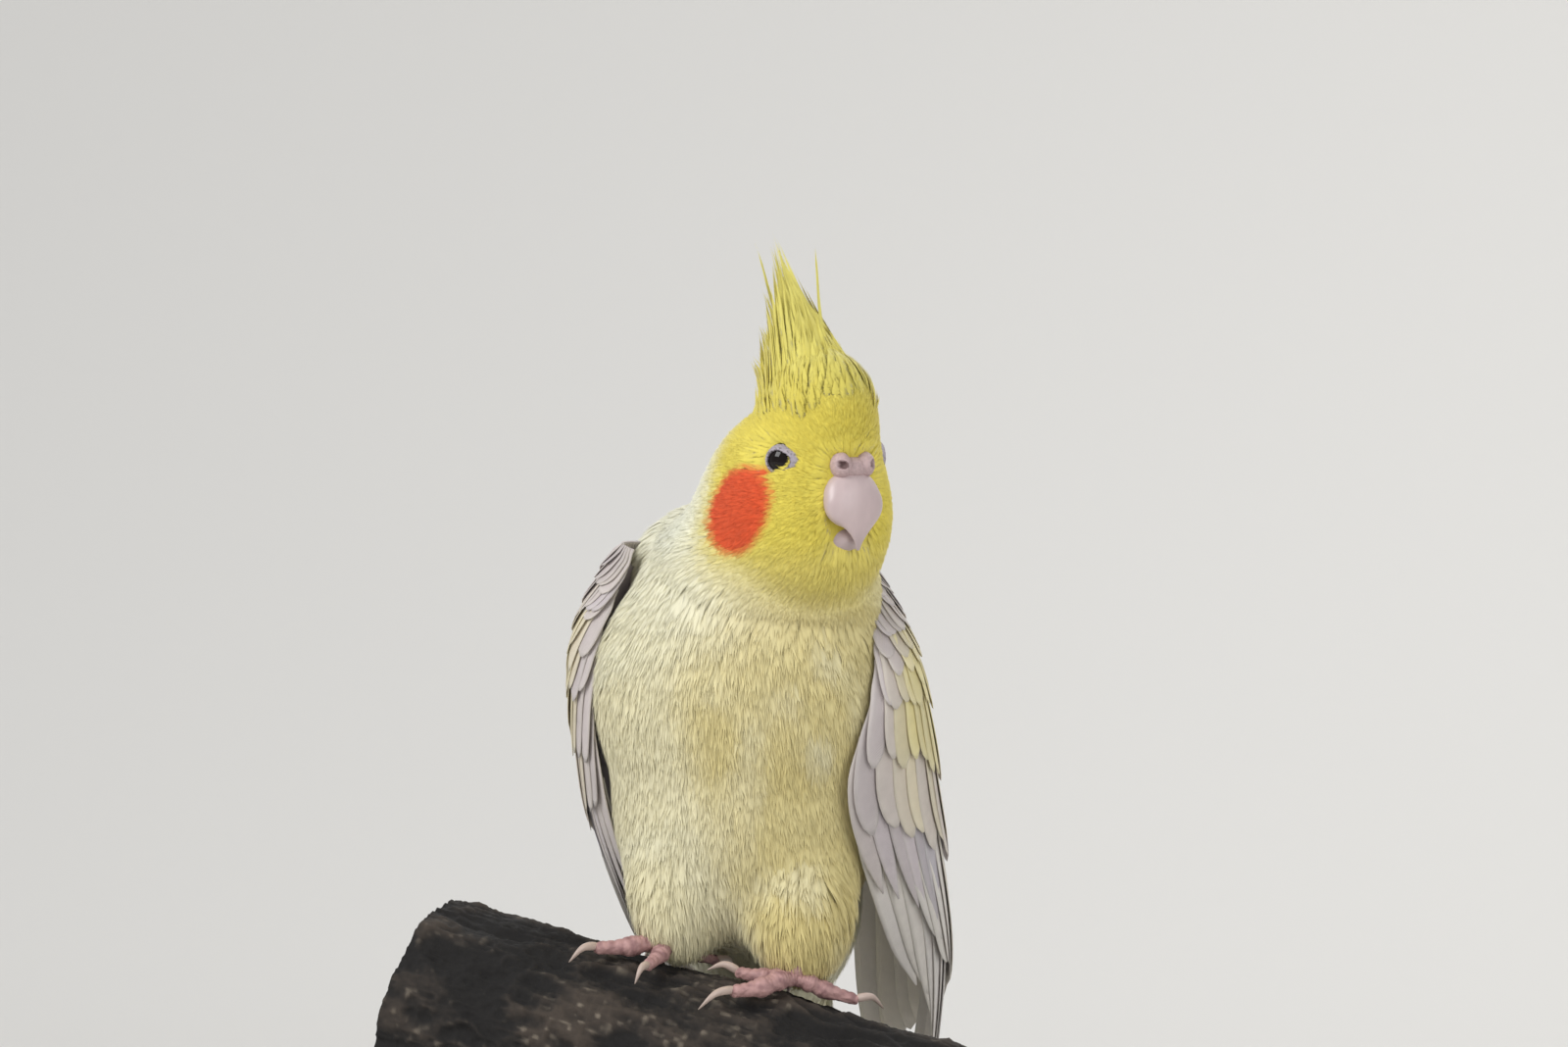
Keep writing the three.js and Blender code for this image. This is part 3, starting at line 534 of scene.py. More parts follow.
def eye_depth(side):
    """How far left of the head's middle an eye's centre lies, EYE_SINK under the surface."""
    l = np.arange(8, 22, 0.02)
    return l[outside(in_head(EYE_F, side * l, EYE_U)) > 0][0] - EYE_SINK


SIDES = (("left", 1), ("right", -1))
EYE_OUT = {side: unit(LEFT * side * 0.893 + FORWARD * 0.45) for _, side in SIDES}
EYE_AT = {side: in_head(EYE_F, side * eye_depth(side), EYE_U) for _, side in SIDES}


def bare(p):
    """Where no feather grows: round the eyes, and on the bill and its cere."""
    f, l, u = head_place(p)
    near_eye = np.zeros(f.shape, bool)
    for _, side in SIDES:
        d = p - EYE_AT[side]
        off = d - dot(d, EYE_OUT[side]) * EYE_OUT[side]
        x = off @ FORWARD
        reach = np.hypot(np.where(x > 0, 0.74 * x, 1.02 * x), 1.12 * off[..., 2])
        near_eye |= (reach < EYE_BARE) & (l * side > 0)
    near_bill = (f > 13) & (abs(l) < 5) & (u < 2.6) & (u > -15)
    return near_eye | near_bill


down_look = material("soft_contour_feathers", 0.75, Sheen_Weight=0.25, Sheen_Roughness=0.5)
tinted(down_look, 0.2, 1500, (1, 1, 0.25), 0.08)


def on_head(p):
    """Whether the coat is the head's, down to a slanting line below the chin and nape."""
    f, l, u = head_place(p)
    return u + 0.35 * f > -24


def head_length(p):
    """Feather length: short round the bill, long on the crown and nape."""
    f, l, u = head_place(p)
    return mix(6.5, 3.4, ease(f, 2, 14) * ease(u, -24, -8)) + 2.5 * ease(u, 12, 20)


def body_length(p):
    """Feather length: a little longer lower down."""
    return 9.5 + 0.02 * (80 - p[..., 2])


HEAD_COAT, BODY_COAT = (head_length, "yellow_plumage"), (body_length, "cream_plumage")
COAT_FEATHERS = 8000
COATS = [  # name, where, length and slot, width, how far the feathers stand up
    ("coat_forehead", lambda f, u, head: head & (f > 1) & (u > -4), HEAD_COAT, 1.05, 0.15),
    ("coat_cheeks", lambda f, u, head: head & (f > 1) & (u <= -4), HEAD_COAT, 1.1, 0.2),
    ("coat_nape", lambda f, u, head: head & (f <= 1), HEAD_COAT, 1.4, 0.25),
    ("coat_throat", lambda f, u, head: ~head & (u > -48), BODY_COAT, 1.9, 0.25),
    ("coat_breast", lambda f, u, head: ~head & (u <= -48) & (u > -72), BODY_COAT, 2.2, 0.3),
    ("coat_belly", lambda f, u, head: ~head & (u <= -72), BODY_COAT, 2.4, 0.35),
]
for seed, (name, where, (length, slot), width, lift) in enumerate(COATS):
    def kept(p, where=where):
        f, l, u = head_place(p)
        return where(f, u, on_head(p)) & ~bare(p)

    coat(name, int(COAT_FEATHERS * DENSITY), kept, length, width, slot, 11 + seed, lift)


# Wings, tail and crest: long vanes, each with a quill along its middle

vane_look = material("smooth_vane_feathers", 0.6, Sheen_Weight=0.15, Sheen_Roughness=0.4)
mottled(vane_look, 400, (1, 1, 1), 0.1)

# Barbs slant away from the quill: a wave over the distance down the vane less that across it
coords = node(vane_look, "ShaderNodeUVMap", {"uv_map": "vane"})
folded = node(vane_look, "ShaderNodeVectorMath", {"operation": "ABSOLUTE"}, coords.outputs[0])
axes = node(vane_look, "ShaderNodeSeparateXYZ", None, folded.outputs[0])
slant = node(vane_look, "ShaderNodeMath", {"operation": "SUBTRACT"}, axes.outputs[1], axes.outputs[0])
scaled = node(vane_look, "ShaderNodeMath", {"operation": "MULTIPLY", 1: 14.0}, slant.outputs[0])
barbs = node(vane_look, "ShaderNodeMath", {"operation": "SINE"}, scaled.outputs[0])
low = {"Strength": 0.35, "Distance": 0.0001}
relief = node(vane_look, "ShaderNodeBump", low, Height=barbs.outputs[0])
feed(vane_look, "Normal", relief.outputs[0])
VANE_THICK = 0.28


def vane(middle, out, half, camber, turn, shade, tone, edge, cols=7):
    """One closed vane along its middle line. Across it, at x from -1 to 1 of its half width, its
    height falls by camber times half times x squared and rises as a quill within 0.35 mm of x 0."""
    along = unit(np.gradient(middle, axis=0))
    out = unit(out - dot(out, along) * along)
    side = np.cross(along, out)
    side = side * math.cos(turn) + out * math.sin(turn)
    out = np.cross(side, along)
    x = np.linspace(-1, 1, cols)
    wide = half[:, None] * x
    quill = 0.3 * np.exp(-(wide / 0.35) ** 2)
    height = -camber * half[:, None] * x**2
    taper = VANE_THICK / 2 * np.linspace(1, 0.4, len(half))[:, None]
    sheet = middle[:, None] + side[:, None] * wide[..., None]
    top = sheet + out[:, None] * (height + taper + quill * taper * 4)[..., None]
    low = sheet + out[:, None] * (height - taper)[..., None]
    points, faces = closed(np.concatenate([top, low[:, ::-1]], 1))
    length = np.concatenate([[0], np.cumsum(np.linalg.norm(np.diff(middle, axis=0), axis=1))])
    x_all = np.concatenate([x, x[::-1]])
    flat = np.stack([np.append(half[:, None] * x_all, [0, 0]),
                     np.append(np.repeat(length, 2 * cols), [0, length[-1]])], -1)
    rim = np.append(np.tile(np.abs(x_all) ** 3, len(half)), [0, 1])
    tip = np.append(np.repeat(ease(np.linspace(0, 1, len(half)), 0.8, 1), 2 * cols), [0, 1])
    tint = mix(tone, edge, np.clip(0.7 * rim + 0.5 * tip, 0, 1)[:, None]) * shade
    return points, faces, tint, flat


def round_tip(half, s):
    """Half widths at shares s along a vane that ends round."""
    end = np.sqrt(np.clip(1 - ((s - 0.6).clip(0) / 0.4) ** 2, 0.02, 1))
    return half * mix(0.55, 1, ease(s, 0, 0.35)) * end


def sharp_tip(half, s):
    """Half widths at shares s along a vane that narrows to its tip."""
    return half * mix(0.6, 1, ease(s, 0, 0.3)) * np.clip(1 - s**4, 0.05, 1)


# The wings' lines, shoulder to tip, all given for the left side
WING_LINES = {
    "left": (
        [(27, 8, 84), (33.5, -2, 61), (28.5, -2, 36), (30, 20, 6), (30, 52, -20), (20, 84, -62)],
        [(27, 15, 86), (38.5, 16, 64), (40, 32, 30), (37.5, 50, 0), (30, 66, -28), (18, 86, -63)],
        [(12, 22, 84), (14, 41, 62), (11, 55, 32), (11, 66, 0), (12, 76, -30), (14, 88, -64)],
    ),
    "right": (
        [(19, 7, 86), (28, 1, 62), (28, 6, 36), (22, 24, 6), (17, 52, -20), (10, 86, -60)],
        [(25, 13, 88), (33.8, 15, 66), (34.5, 32, 30), (29, 50, 0), (20, 68, -28), (8.5, 88, -61)],
        [(13, 23, 87), (14, 41, 63), (10, 55, 32), (6, 65, 0), (4, 76, -30), (3, 89, -62)],
    ),
}


def wing_patch(side, lines):
    """A curved sheet: at share s down the wing, t runs from front edge over ridge to back edge, as the
    square curve with those two ends that passes through the ridge half way."""
    front, ridge, back = [path(*points) for points in lines]

    def place(s, t):
        """The sheet's point at shares s and t."""
        f, r, b = front(s), ridge(s), back(s)
        t = np.asarray(t)[..., None]
        p = f * (1 - t) ** 2 + (2 * r - (f + b) / 2) * 2 * t * (1 - t) + b * t * t
        return p * np.array([side, 1, 1])

    def out(s, t):
        """The way off the sheet, from its slopes in s and t."""
        e = 0.01
        down = place(np.minimum(1, s + e), t) - place(np.maximum(0, s - e), t)
        over = place(s, np.minimum(1, t + e)) - place(s, np.maximum(0, t - e))
        return unit(np.cross(down, over)) * side

    return place, out


# Tiers of wing feathers, each with its count, root and tip for the row's front and back end as shares
# (s, t), half width, height over the sheet at root and tip, tip shape and colour. They are the
# primaries, secondaries, primary coverts, greater and median coverts, three lesser rows and shoulder.
TIERS = [
    (9, (0.38, 0.05), (0.42, 0.6), (0.7, 0.06), (1.0, 0.6), 3.8, (-2.0, -0.5), sharp_tip, PALE_VANE),
    (11, (0.36, 0.2), (0.36, 0.9), (0.6, 0.26), (0.8, 0.92), 4.6, (-2.0, 0.3), round_tip, PALE_VANE),
    (6, (0.3, 0.03), (0.32, 0.3), (0.54, 0.04), (0.6, 0.3), 3.0, (-1.2, 0.1), sharp_tip, LAVENDER),
    (15, (0.24, 0.05), (0.24, 0.93), (0.43, 0.05), (0.47, 0.94), 3.8, (-1.5, 0.5), round_tip, LAVENDER),
    (16, (0.17, 0.06), (0.17, 0.93), (0.33, 0.05), (0.34, 0.94), 3.3, (-1.3, 0.65), round_tip, LAVENDER),
    (18, (0.12, 0.08), (0.12, 0.92), (0.25, 0.06), (0.25, 0.93), 2.9, (-1.2, 0.75), round_tip, LAVENDER),
    (18, (0.07, 0.1), (0.07, 0.9), (0.19, 0.08), (0.19, 0.92), 2.7, (-1.2, 0.85), round_tip, LAVENDER),
    (17, (0.02, 0.12), (0.02, 0.88), (0.13, 0.1), (0.13, 0.9), 2.6, (-1.2, 0.9), round_tip, LAVENDER),
    (16, (0.0, 0.15), (0.0, 0.85), (0.07, 0.12), (0.07, 0.88), 2.5, (-1.3, 0.9), round_tip, LAVENDER),
]
WASH = {1: 0.75, -1: 0.45}  # how yellow the middle tiers are, left and right
# BACK_SHADE_GREY is painted shade: the bluish grey of the wing's shaded back edge
WASH_YELLOW, BACK_SHADE_GREY = linear("#ddd08a"), linear("#a9a7b0")

for name, side in SIDES:
    place, out = wing_patch(side, WING_LINES[name])
    rng = np.random.default_rng(31 + side)
    v, u = shares(40, 32, 0.001, 0.999)
    swell = np.sqrt(np.sin(math.pi * v))
    s = 0.03 + 0.42 * v
    t = 0.5 + 0.44 * np.cos(2 * math.pi * u) * swell
    core = place(s, t) + out(s, t) * (-3.4 + 2.5 * np.sin(2 * math.pi * u) * swell)[..., None]
    points, faces = closed(core)
    feathers = [(points, faces, np.tile(LAVENDER, (len(points), 1)), np.zeros((len(points), 2)))]
    for count, root_a, root_b, tip_a, tip_b, half, lift, shape, tone in TIERS:
        for k in np.linspace(0, 1, count):
            root = mix(np.array(root_a), np.array(root_b), k)
            tip = mix(np.array(tip_a), np.array(tip_b), k) + rng.normal(0, [0.011, 0.01])
            a = np.linspace(0, 1, 16)
            s, t = mix(root, tip, a[:, None]).T
            normal = out(s, t.clip(0, 1))
            middle = place(s, t.clip(0, 1)) + normal * mix(*lift, a)[:, None]
            washed = ease(tip[0], 0.12, 0.22) * ease(tip[0], 0.5, 0.36)
            washed = washed * ease(k, 0.62, 0.45) * ease(k, 0.02, 0.2) * WASH[side] + 0.12 * rng.random()
            # Painted shade: each tier turns bluish grey towards the wing's back edge
            own = mix(mix(tone, WASH_YELLOW, washed), BACK_SHADE_GREY, 0.5 * ease(k, 0.55, 1))
            width = shape(half * rng.uniform(0.9, 1.1), a)
            feathers.append(vane(middle, normal, width, 0.07, 0.12 * side, rng.normal(1, 0.04), own,
                                 mix(own, WHITE, 0.22)))
    points, faces, tint, flat = joined(feathers)
    piece(f"wing_{name}_feathers", points, faces, vane_look, "wing_plumage", (f"wing_{name}",),
          tint=tint, uv=flat)


# Tail: six pairs of long vanes, the middle pair longest, under short coverts
LEAN = math.radians(26)
TAIL_ROOT = np.array([0, 47.0, -6.0])
TAIL_WAY = np.array([0, math.sin(LEAN), -math.cos(LEAN)])
TAIL_OUT = np.array([0, math.cos(LEAN), math.sin(LEAN)])
TAIL_LENGTH = 152
COVERTS = ((3.4, 46), (3.9, 34), (4.4, 24))  # height off the tail and length, over and under it
tail_rng = np.random.default_rng(7)


def tail_vane(side, rank, length, half, start, lift, shape, tone):
    """One of the tail's vanes, fanned out by its rank and bowed down by 2.2 times its share squared."""
    turn = math.radians(side * rank * 1.3)
    way = TAIL_WAY * math.cos(turn) + np.cross(TAIL_OUT, TAIL_WAY) * math.sin(turn)
    across = np.cross(TAIL_OUT, way)
    t = np.linspace(0, 1, 28)
    middle = (TAIL_ROOT + across * side * (0.9 + 0.55 * rank) + way * mix(start, length, t)[:, None]
              + TAIL_OUT * (mix(lift * 0.55, lift, t) - 2.2 * t * t)[:, None])
    return vane(middle, np.tile(TAIL_OUT, (28, 1)), shape(half, t), 0.08, 0.16 * side,
                tail_rng.normal(1, 0.03), tone, mix(tone, WHITE, 0.5), 9)


feathers = []
for _, side in SIDES:
    for rank in range(6):
        feathers.append(tail_vane(side, rank, TAIL_LENGTH * (1 - 0.105 * rank), 5.4 - 0.2 * rank, 0,
                                  1.9 - 0.95 * rank + 0.45 * side, sharp_tip, TAIL_CREAM))
    for rank in np.linspace(0, 3, 7):
        for level, long in COVERTS:
            for lift, tone in ((level - 0.3 * rank, WHITE), (-level - 0.9 + 0.3 * rank, BUFF)):
                feathers.append(tail_vane(side, rank, long - 4 * rank, 4.2, -6, lift, round_tip, tone))
points, faces, tint, flat = joined(feathers)
piece("tail_feathers", points, faces, vane_look, "tail_plumage", ("tail",), tint=tint, uv=flat)


# Crest: narrow plumes from the forehead and crown. Each row has its count, root, half spread of the
# roots, tip, half spread of the tips, half width and bow, in the head's frame.
CREST = [
    (11, (13.5, 12), 4.2, (9.0, 24.5), 3.2, 1.3, 2.0),
    (12, (12, 13), 4.2, (5.0, 28.5), 2.8, 1.3, 2.2),
    (12, (10, 14.5), 4.0, (0.5, 32.5), 2.4, 1.2, 2.2),
    (11, (7.5, 15.5), 3.6, (-4.5, 38), 2.0, 1.1, 2.0),
    (8, (5, 16), 3.4, (-8.7, 42.4), 1.2, 1.0, 1.4),
    (8, (2.5, 16), 3.4, (-9.8, 41), 1.6, 1.1, 1.2),
    (9, (0, 13.5), 3.6, (-12.2, 32.5), 1.8, 1.1, 0.8),
    (9, (-2.5, 12), 3.8, (-14, 26), 2.0, 1.1, 0.4),
    (9, (-5, 10.5), 3.8, (-15.8, 20), 2.2, 1.1, 0.2),
]

# Two feathers stand apart from the rest: root, bend and tip, each forward, left and up
LONE = (((8, 1.5, 16), (3.9, 1.6, 30), (2.4, 1.5, 41.5)),
        ((3, -1, 15), (-8.6, -1, 31), (-13.6, -1.2, 41)))
CROWN_PLUMES = 700


def over_crown(p):
    """Where the crown's plumes have their roots: over a ragged line above the eyes."""
    f, l, u = head_place(p)
    ragged = 1.1 * np.sin(1.9 * l + 0.8 * f) + 0.7 * np.sin(4.7 * l - 1.3 * f)
    return (u > 7.4 + 0.03 * (f - 4) ** 2 + ragged) & (f > -9)


rng = np.random.default_rng(5)
lines, halves = [], []
a = np.linspace(0, 1, 14)
narrowing = np.clip(1 - a**3, 0.06, 1)
for count, root, spread, tip, fan, half, bow in CREST:
    for k in np.linspace(-1, 1, count):
        reach = 1 - 0.12 * abs(k) + rng.uniform(-0.06, 0.03)
        end = mix(np.array(root), np.array(tip), reach)
        bend = mix(np.array(root), end, 0.45) + bow * np.array([0.35, 0.3]) + rng.normal(0, 0.3, 2)
        line = path(in_head(root[0], spread * k, root[1] - 3),
                    in_head(bend[0], spread * 1.1 * k, bend[1]),
                    in_head(end[0], fan * k + rng.normal(0, 0.4), end[1]))
        lines.append(line(a))
        halves.append(half * mix(0.7, 1, ease(a, 0, 0.3)) * narrowing)
for bends in LONE:
    lines.append(path(*[in_head(*place) for place in bends])(a))
    halves.append(mix(0.6, 0.2, a))

# Short plumes all over the crown lead up into the crest, each towards the tip of the row behind its root
root, _, _ = scattered(int(CROWN_PLUMES * DENSITY), over_crown, rng)
f, l, u = head_place(root)
roots_f, tips_f, tips_u = np.array([(row[1][0], *row[3]) for row in CREST])[::-1].T
aim = in_head(np.interp(f, roots_f, tips_f), 0.3 * l, np.interp(f, roots_f, tips_u))
reach = mix(0.2, 0.8, rng.random(len(f))) * mix(0.6, 1, ease(u, 8, 18))
end = mix(root, aim, reach[:, None])
middle = mix(root[:, None], end[:, None], a[:, None])
for _ in range(2):
    lowest = -coat_depth(root)[:, None] + (1.5 + 0.5 * rng.random((len(f), 1))) * a**0.5
    middle = middle + normals_at(middle) * np.maximum(0, lowest - outside(middle))[..., None]
out = np.concatenate([np.broadcast_to(FORWARD, (len(lines), 14, 3)), normals_at(middle)])
middle = np.concatenate([lines, middle])
short = rng.uniform(0.6, 0.9, (len(f), 1)) * mix(0.15, 1, ease(a, 0, 0.4)) * narrowing
points, faces = fringed(middle, out, np.concatenate([halves, short]), 2.2, rng)
in_crest = (np.arange(len(points)) < len(lines))[:, None]
tone = mix(markings_and_painted_light(middle[:, 3]), CROWN, np.where(in_crest, 0.4, 0.05)) * np.where(in_crest, 1, 0.895)
tone = tone * rng.normal(1.0, 0.03, (len(points), 1))
coarse = skin_grid[::4, ::4]
nearest = [int(((coarse - p) ** 2).sum(-1).argmin()) for p in middle[:, 0]]
row_at, col_at = np.unravel_index(nearest, coarse.shape[:2])
plumage("crest_plumes", points, faces, tone, 4 * col_at / skin_grid.shape[1],
        4 * row_at / skin_grid.shape[0], "yellow_plumage", rng)


# Eyes and lids

def ball_rays(rows, cols):
    """Directions all round a point, in rows from its top down."""
    v, u = shares(rows, cols)
    a, b = 2 * math.pi * u, math.pi * v
    return np.stack([np.cos(a) * np.sin(b), np.sin(a) * np.sin(b), np.cos(b)], -1)


def ellipsoid(centre, sizes, axes, rows=40, cols=48):
    """A ball stretched along three axes."""
    return closed(centre + ball_rays(rows, cols) * sizes @ axes)


eye_look = material("wet_dark_brown_eye", 0.04, "#120a08", IOR=1.34)
lid_look = material("bare_lavender_eye_ring", 0.6, "#c5bbbf")
tinted(lid_look, 0.6, 1800, (1, 1, 1), 0.3)
LID = path((2.0, 3.05), (2.15, 3.35), (2.4, 3.35), (2.75, 3.0), (3.05, 2.5), (3.35, 1.7), (3.0, 1.0),
           (2.4, 1.9))  # the ring's profile, as radius and height off the eye's centre
LID_COLS, LID_ROWS = 22, 96
for name, side in SIDES:
    look_out = EYE_OUT[side]
    across = unit(np.cross(UP, look_out))
    axes = np.array([across, np.cross(look_out, across), look_out])
    points, faces = ellipsoid(EYE_AT[side], [EYE_RADIUS] * 3, axes)
    piece(f"eye_{name}_ball", points, faces, eye_look, "eye", (f"eye_{name}",))
    turn = np.linspace(0, 2 * math.pi, LID_ROWS, endpoint=False)[:, None]
    k = LID(np.linspace(0, 1, LID_COLS))[None]
    folds = 0.07 * np.sin(17 * turn) * np.sin(5 * k[..., 0]) + 0.05 * np.sin(31 * turn + 2)
    forward = np.cos(turn) * -side
    corner = 1 + 0.45 * np.maximum(0, forward) ** 5 + 0.04 * np.maximum(0, -forward) ** 8
    r = (k[..., 0] + folds) * corner
    ring = (EYE_AT[side] + (r * np.cos(turn))[..., None] * across
            + (r * np.sin(turn))[..., None] * axes[1] + (k[..., 1] + 0 * r)[..., None] * look_out)
    points = ring.reshape(-1, 3)
    faces = [grid_faces(LID_ROWS, LID_COLS, wrap_rows=True)]
    faces = faces if outward(points, faces) else [f[:, ::-1] for f in faces]
    speck = ease(lattice(points[:, 0] * 3.1 + points[:, 1] * 2.2, points[:, 2] * 3.2, 12), 0.4, 0.6)
    inner = ease(np.repeat(k[..., 0], LID_ROWS, 0).ravel(), 2.4, 2.15)
    tint = mix(linear("#a59ca4"), linear("#3c3538"), np.clip(0.6 * speck + 0.75 * inner, 0, 1)[:, None])
    piece(f"lids_{name}", points, faces, lid_look, "cere", tint=tint)


# Bill and cere

def profile_line(*pairs):
    """A line in the head's middle plane, through pairs of forward and up."""
    return path(*[in_head(f, 0.0, u) for f, u in pairs])


def bill(top, bottom, widths, rows, cols):
    """Oval slices between a top line and a bottom line, closing at the root and at the tip."""
    v, u = shares(rows, cols, 0.01, 0.995)
    t = (1 - np.cos(math.pi * v)) / 2
    end = np.sqrt(np.sin(math.pi * v))
    middle, half = (top(t) + bottom(t)) / 2, (top(t) - bottom(t)) / 2
    width = mix(widths[0], widths[1], ease(t, 0.35, 0.95)) * end
    a = 2 * math.pi * u
    return closed(middle + half * (end * np.sin(a))[..., None] + LEFT * (width * np.cos(a))[..., None])


CULMEN = profile_line((13, 0.9), (18.2, 0.2), (20.3, -3), (21.3, -7), (21.2, -11), (20.5, -14.4),
                      (19.6, -16.6))
CUTTING_EDGE = profile_line((10, -8), (12.5, -9.2), (14.8, -10.8), (16.8, -12), (18.6, -12.6),
                            (19.2, -14.6), (19.5, -16.9))
LOWER_TOP = profile_line((9, -9), (12.5, -10.2), (15.4, -11.9), (17.6, -13.2))
LOWER_KEEL = profile_line((10, -15.6), (13.4, -16.9), (16.2, -17.2), (17.9, -16))
bill_look = material("pinkish_grey_horn", 0.38, "#b9a6a5", Coat_Weight=0.15, Coat_Roughness=0.3)
tinted(bill_look, 0.12, 500, (1, 1, 0.35), 0.1)
for name, top, bottom, widths in (("upper", CULMEN, CUTTING_EDGE, (7, 0.9)),
                                  ("lower", LOWER_TOP, LOWER_KEEL, (5.4, 2.6))):
    points, faces = bill(top, bottom, widths, 90, 64)
    f, l, u = head_place(points)
    darker = 0.4 * ease(u, -11.5, -17) + 0.15 * ease(abs(l), 3, 6)
    tint = mix(linear("#c3afae"), linear("#8f8080"), darker[:, None])
    piece(f"bill_{name}_horn", points, faces, bill_look, "bill", (f"bill_{name}",), tint=tint)

# The cere's balls and the nostrils cut out of them: centre and half sizes in the head's frame
CERE_BALLS = [((17.3, 2.9, 0.7), (2.9, 2.1, 2.7)), ((17.3, -2.9, 0.7), (2.9, 2.1, 2.7)),
              ((16.4, 0, 0), (3.4, 4.6, 2.5))]
NOSTRILS = [((19.8, 3.7, 0.9), (1.5, 0.8, 0.85)), ((19.8, -3.7, 0.9), (1.5, 0.8, 0.85))]


def cere_surface(rows, cols):
    """Rays from a middle point go out to where they first leave the balls or meet a nostril. Returns
    the points in the head's frame and which of them lie in a nostril's way."""
    ray = ball_rays(rows, cols)
    start = np.array([16.6, 0, 0.2])
    r = np.linspace(0.2, 9, 120)
    p = start + ray[:, :, None] * r[:, None]

    def inside(balls):
        """Whether the points on the rays lie in any of the balls."""
        return np.any([(((p - np.array(c)) / np.array(s)) ** 2).sum(-1) < 1 for c, s in balls], 0)

    solid = inside(CERE_BALLS) & ~inside(NOSTRILS)
    first_gap = np.argmin(solid, axis=2)
    pits = inside(NOSTRILS).any(2)
    return start + ray * r[np.maximum(first_gap, 1)][..., None], pits


cere_local, pits = cere_surface(90, 120)
points, faces = closed(HEAD + cere_local @ HEAD_AXES)
# Painted shade: the nostril pits are tinted dark, as shade falls in the holes
dark = np.append(pits.ravel(), [False, False])
tint = np.where(dark[:, None], linear("#6d5553"), linear("#b79e9d"))
piece("cere_skin", points, faces, lid_look, "cere", ("cere",), tint=tint)


# Branch: a bark-covered log whose axis slopes down to the bird's left
SLOPE, HEADING = math.radians(12.5), math.radians(-6)
LOG_RADIUS, LOG_LENGTH, LOG_TOP = 27.0, 128.0, -2.4
LOG_WAY = np.array([math.cos(SLOPE) * math.cos(HEADING), math.cos(SLOPE) * math.sin(HEADING),
                    -math.sin(SLOPE)])
LOG_UP = np.cross(LOG_WAY, unit(np.cross([0, 0, 1.0], LOG_WAY)))
LOG_FRONT = np.cross(LOG_WAY, LOG_UP)
LOG_MIDDLE = np.array([0, 2, LOG_TOP]) - LOG_UP * LOG_RADIUS


def on_log(x, angle, height):
    """A point over the log: x along it, angle forward from its top in degrees, height off it."""
    x, angle, height = [np.asarray(value, float)[..., None] for value in (x, angle, height)]
    a, r = np.radians(angle), LOG_RADIUS + height
    return LOG_MIDDLE + LOG_WAY * x + LOG_UP * r * np.cos(a) + LOG_FRONT * r * np.sin(a)


def bark_height(angle, x):
    """Long low swells, then plates: ridges of smooth noise drawn out along the log, with cracks."""
    ridges = np.sin(9 * angle + 0.05 * x) + 0.6 * np.sin(14 * angle - 0.09 * x + 1.3)
    swells = np.sin(0.07 * x + 2 * angle + 0.8) + 0.7 * np.sin(0.16 * x - angle)
    base = 0.4 * ridges + 0.5 * swells - 1.1
    turn = angle / (2 * math.pi)
    plates = 1 - np.abs(lattice(turn * 40 + 0.6 * lattice(turn * 20, x / 9, 3, 20), x / 11, 4, 40))
    crust = 1 - np.abs(lattice(turn * 110, x / 3.2, 6))
    grit = lattice(turn * 260, x / 0.9, 8)
    return base + 1.7 * (plates - 0.8) + 0.7 * (crust - 0.65) + 0.2 * grit


bark_look = material("very_dark_rough_bark", 0.9)
tinted(bark_look, 0.9, 700, (1, 1, 1), 0.35, 6.0)
rows, cols = ((300, 420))
x, angle = shares(rows, cols, -0.5, 0.5)
x, angle = x * LOG_LENGTH, angle * 360
height = bark_height(np.radians(angle), x)
points, faces = closed(on_log(x, angle, height))
x, angle, height = [np.append(value, [0, 0]) for value in (x, angle, height)]
fleck = ease(lattice(angle / 2.5, x / 1.6, 14), 0.35, 0.8)
raised = ease(height, -1.6, 0.4)
tint = mix(linear("#100d0b"), linear("#40372f"), raised[:, None])
tint = mix(tint, linear("#8a7f70"), (0.6 * fleck * raised)[:, None])
piece("branch_bark", points, faces, bark_look, "bark", ("stand_perch_branch",), tint=tint)


# Feet over the log: each foot's ankle as (x, angle), then each toe's place at its middle and its end,
# half width, and how far its claw runs on
FEET = [
    ("right", -1, (-13, -2), [
        ("inner_front", (-12.6, 11), (-13, 23), 1.8, (0.2, 12)),
        ("outer_front", (-19, 12), (-25.6, 21), 2.0, (-2.6, 13)),
        ("inner_back", (-8, -11), (-5, -19), 1.6, (2.4, -12)),
        ("outer_back", (-18, -18), (-23, -33), 1.8, (-2.6, -14)),
    ]),
    ("left", 1, (15.5, 0), [
        ("inner_front", (9.4, 3), (3.4, 5), 1.8, (-5, 7)),
        ("outer_front", (11.6, 15), (6.4, 24), 2.0, (-3.8, 15)),
        ("inner_back", (12, -14), (9.6, -27), 1.6, (-1, -14)),
        ("outer_back", (21.5, -6), (28.4, -12), 1.8, (4.4, -9)),
    ]),
]
TOE_LIFT = 0.35


def tube(line, across, high, up, rows, cols, bumps=None):
    """Oval rings along a line, closing roundly at both ends; bumps(t, angle) adds to their size."""
    v, u = shares(rows, cols)
    t = (1 - np.cos(math.pi * v)) / 2
    end = np.sqrt(np.sin(math.pi * v))
    along = heading(line, t)
    side = unit(np.cross(along, up))
    lift = np.cross(side, along)
    a = 2 * math.pi * u
    extra = bumps(t, a) if bumps else 0
    return closed(line(t) + side * ((across(t) * end + extra) * np.cos(a))[..., None]
                  + lift * ((high(t) * end + extra) * np.sin(a))[..., None])


def scutes(length, depth):
    """Plates across the top of a toe, one each 1.1 mm, and small grains round the rest."""
    def bumps(t, a):
        top = ease(np.sin(a), 0.1, 0.6)
        plates = np.sqrt(np.abs(np.sin(math.pi * t * length / 1.1)))
        grains = lattice(a * 3.2, t * length / 0.55, 21)
        return depth * 1.5 * (top * (plates - 0.6) + (1 - top) * 0.7 * grains)
    return bumps


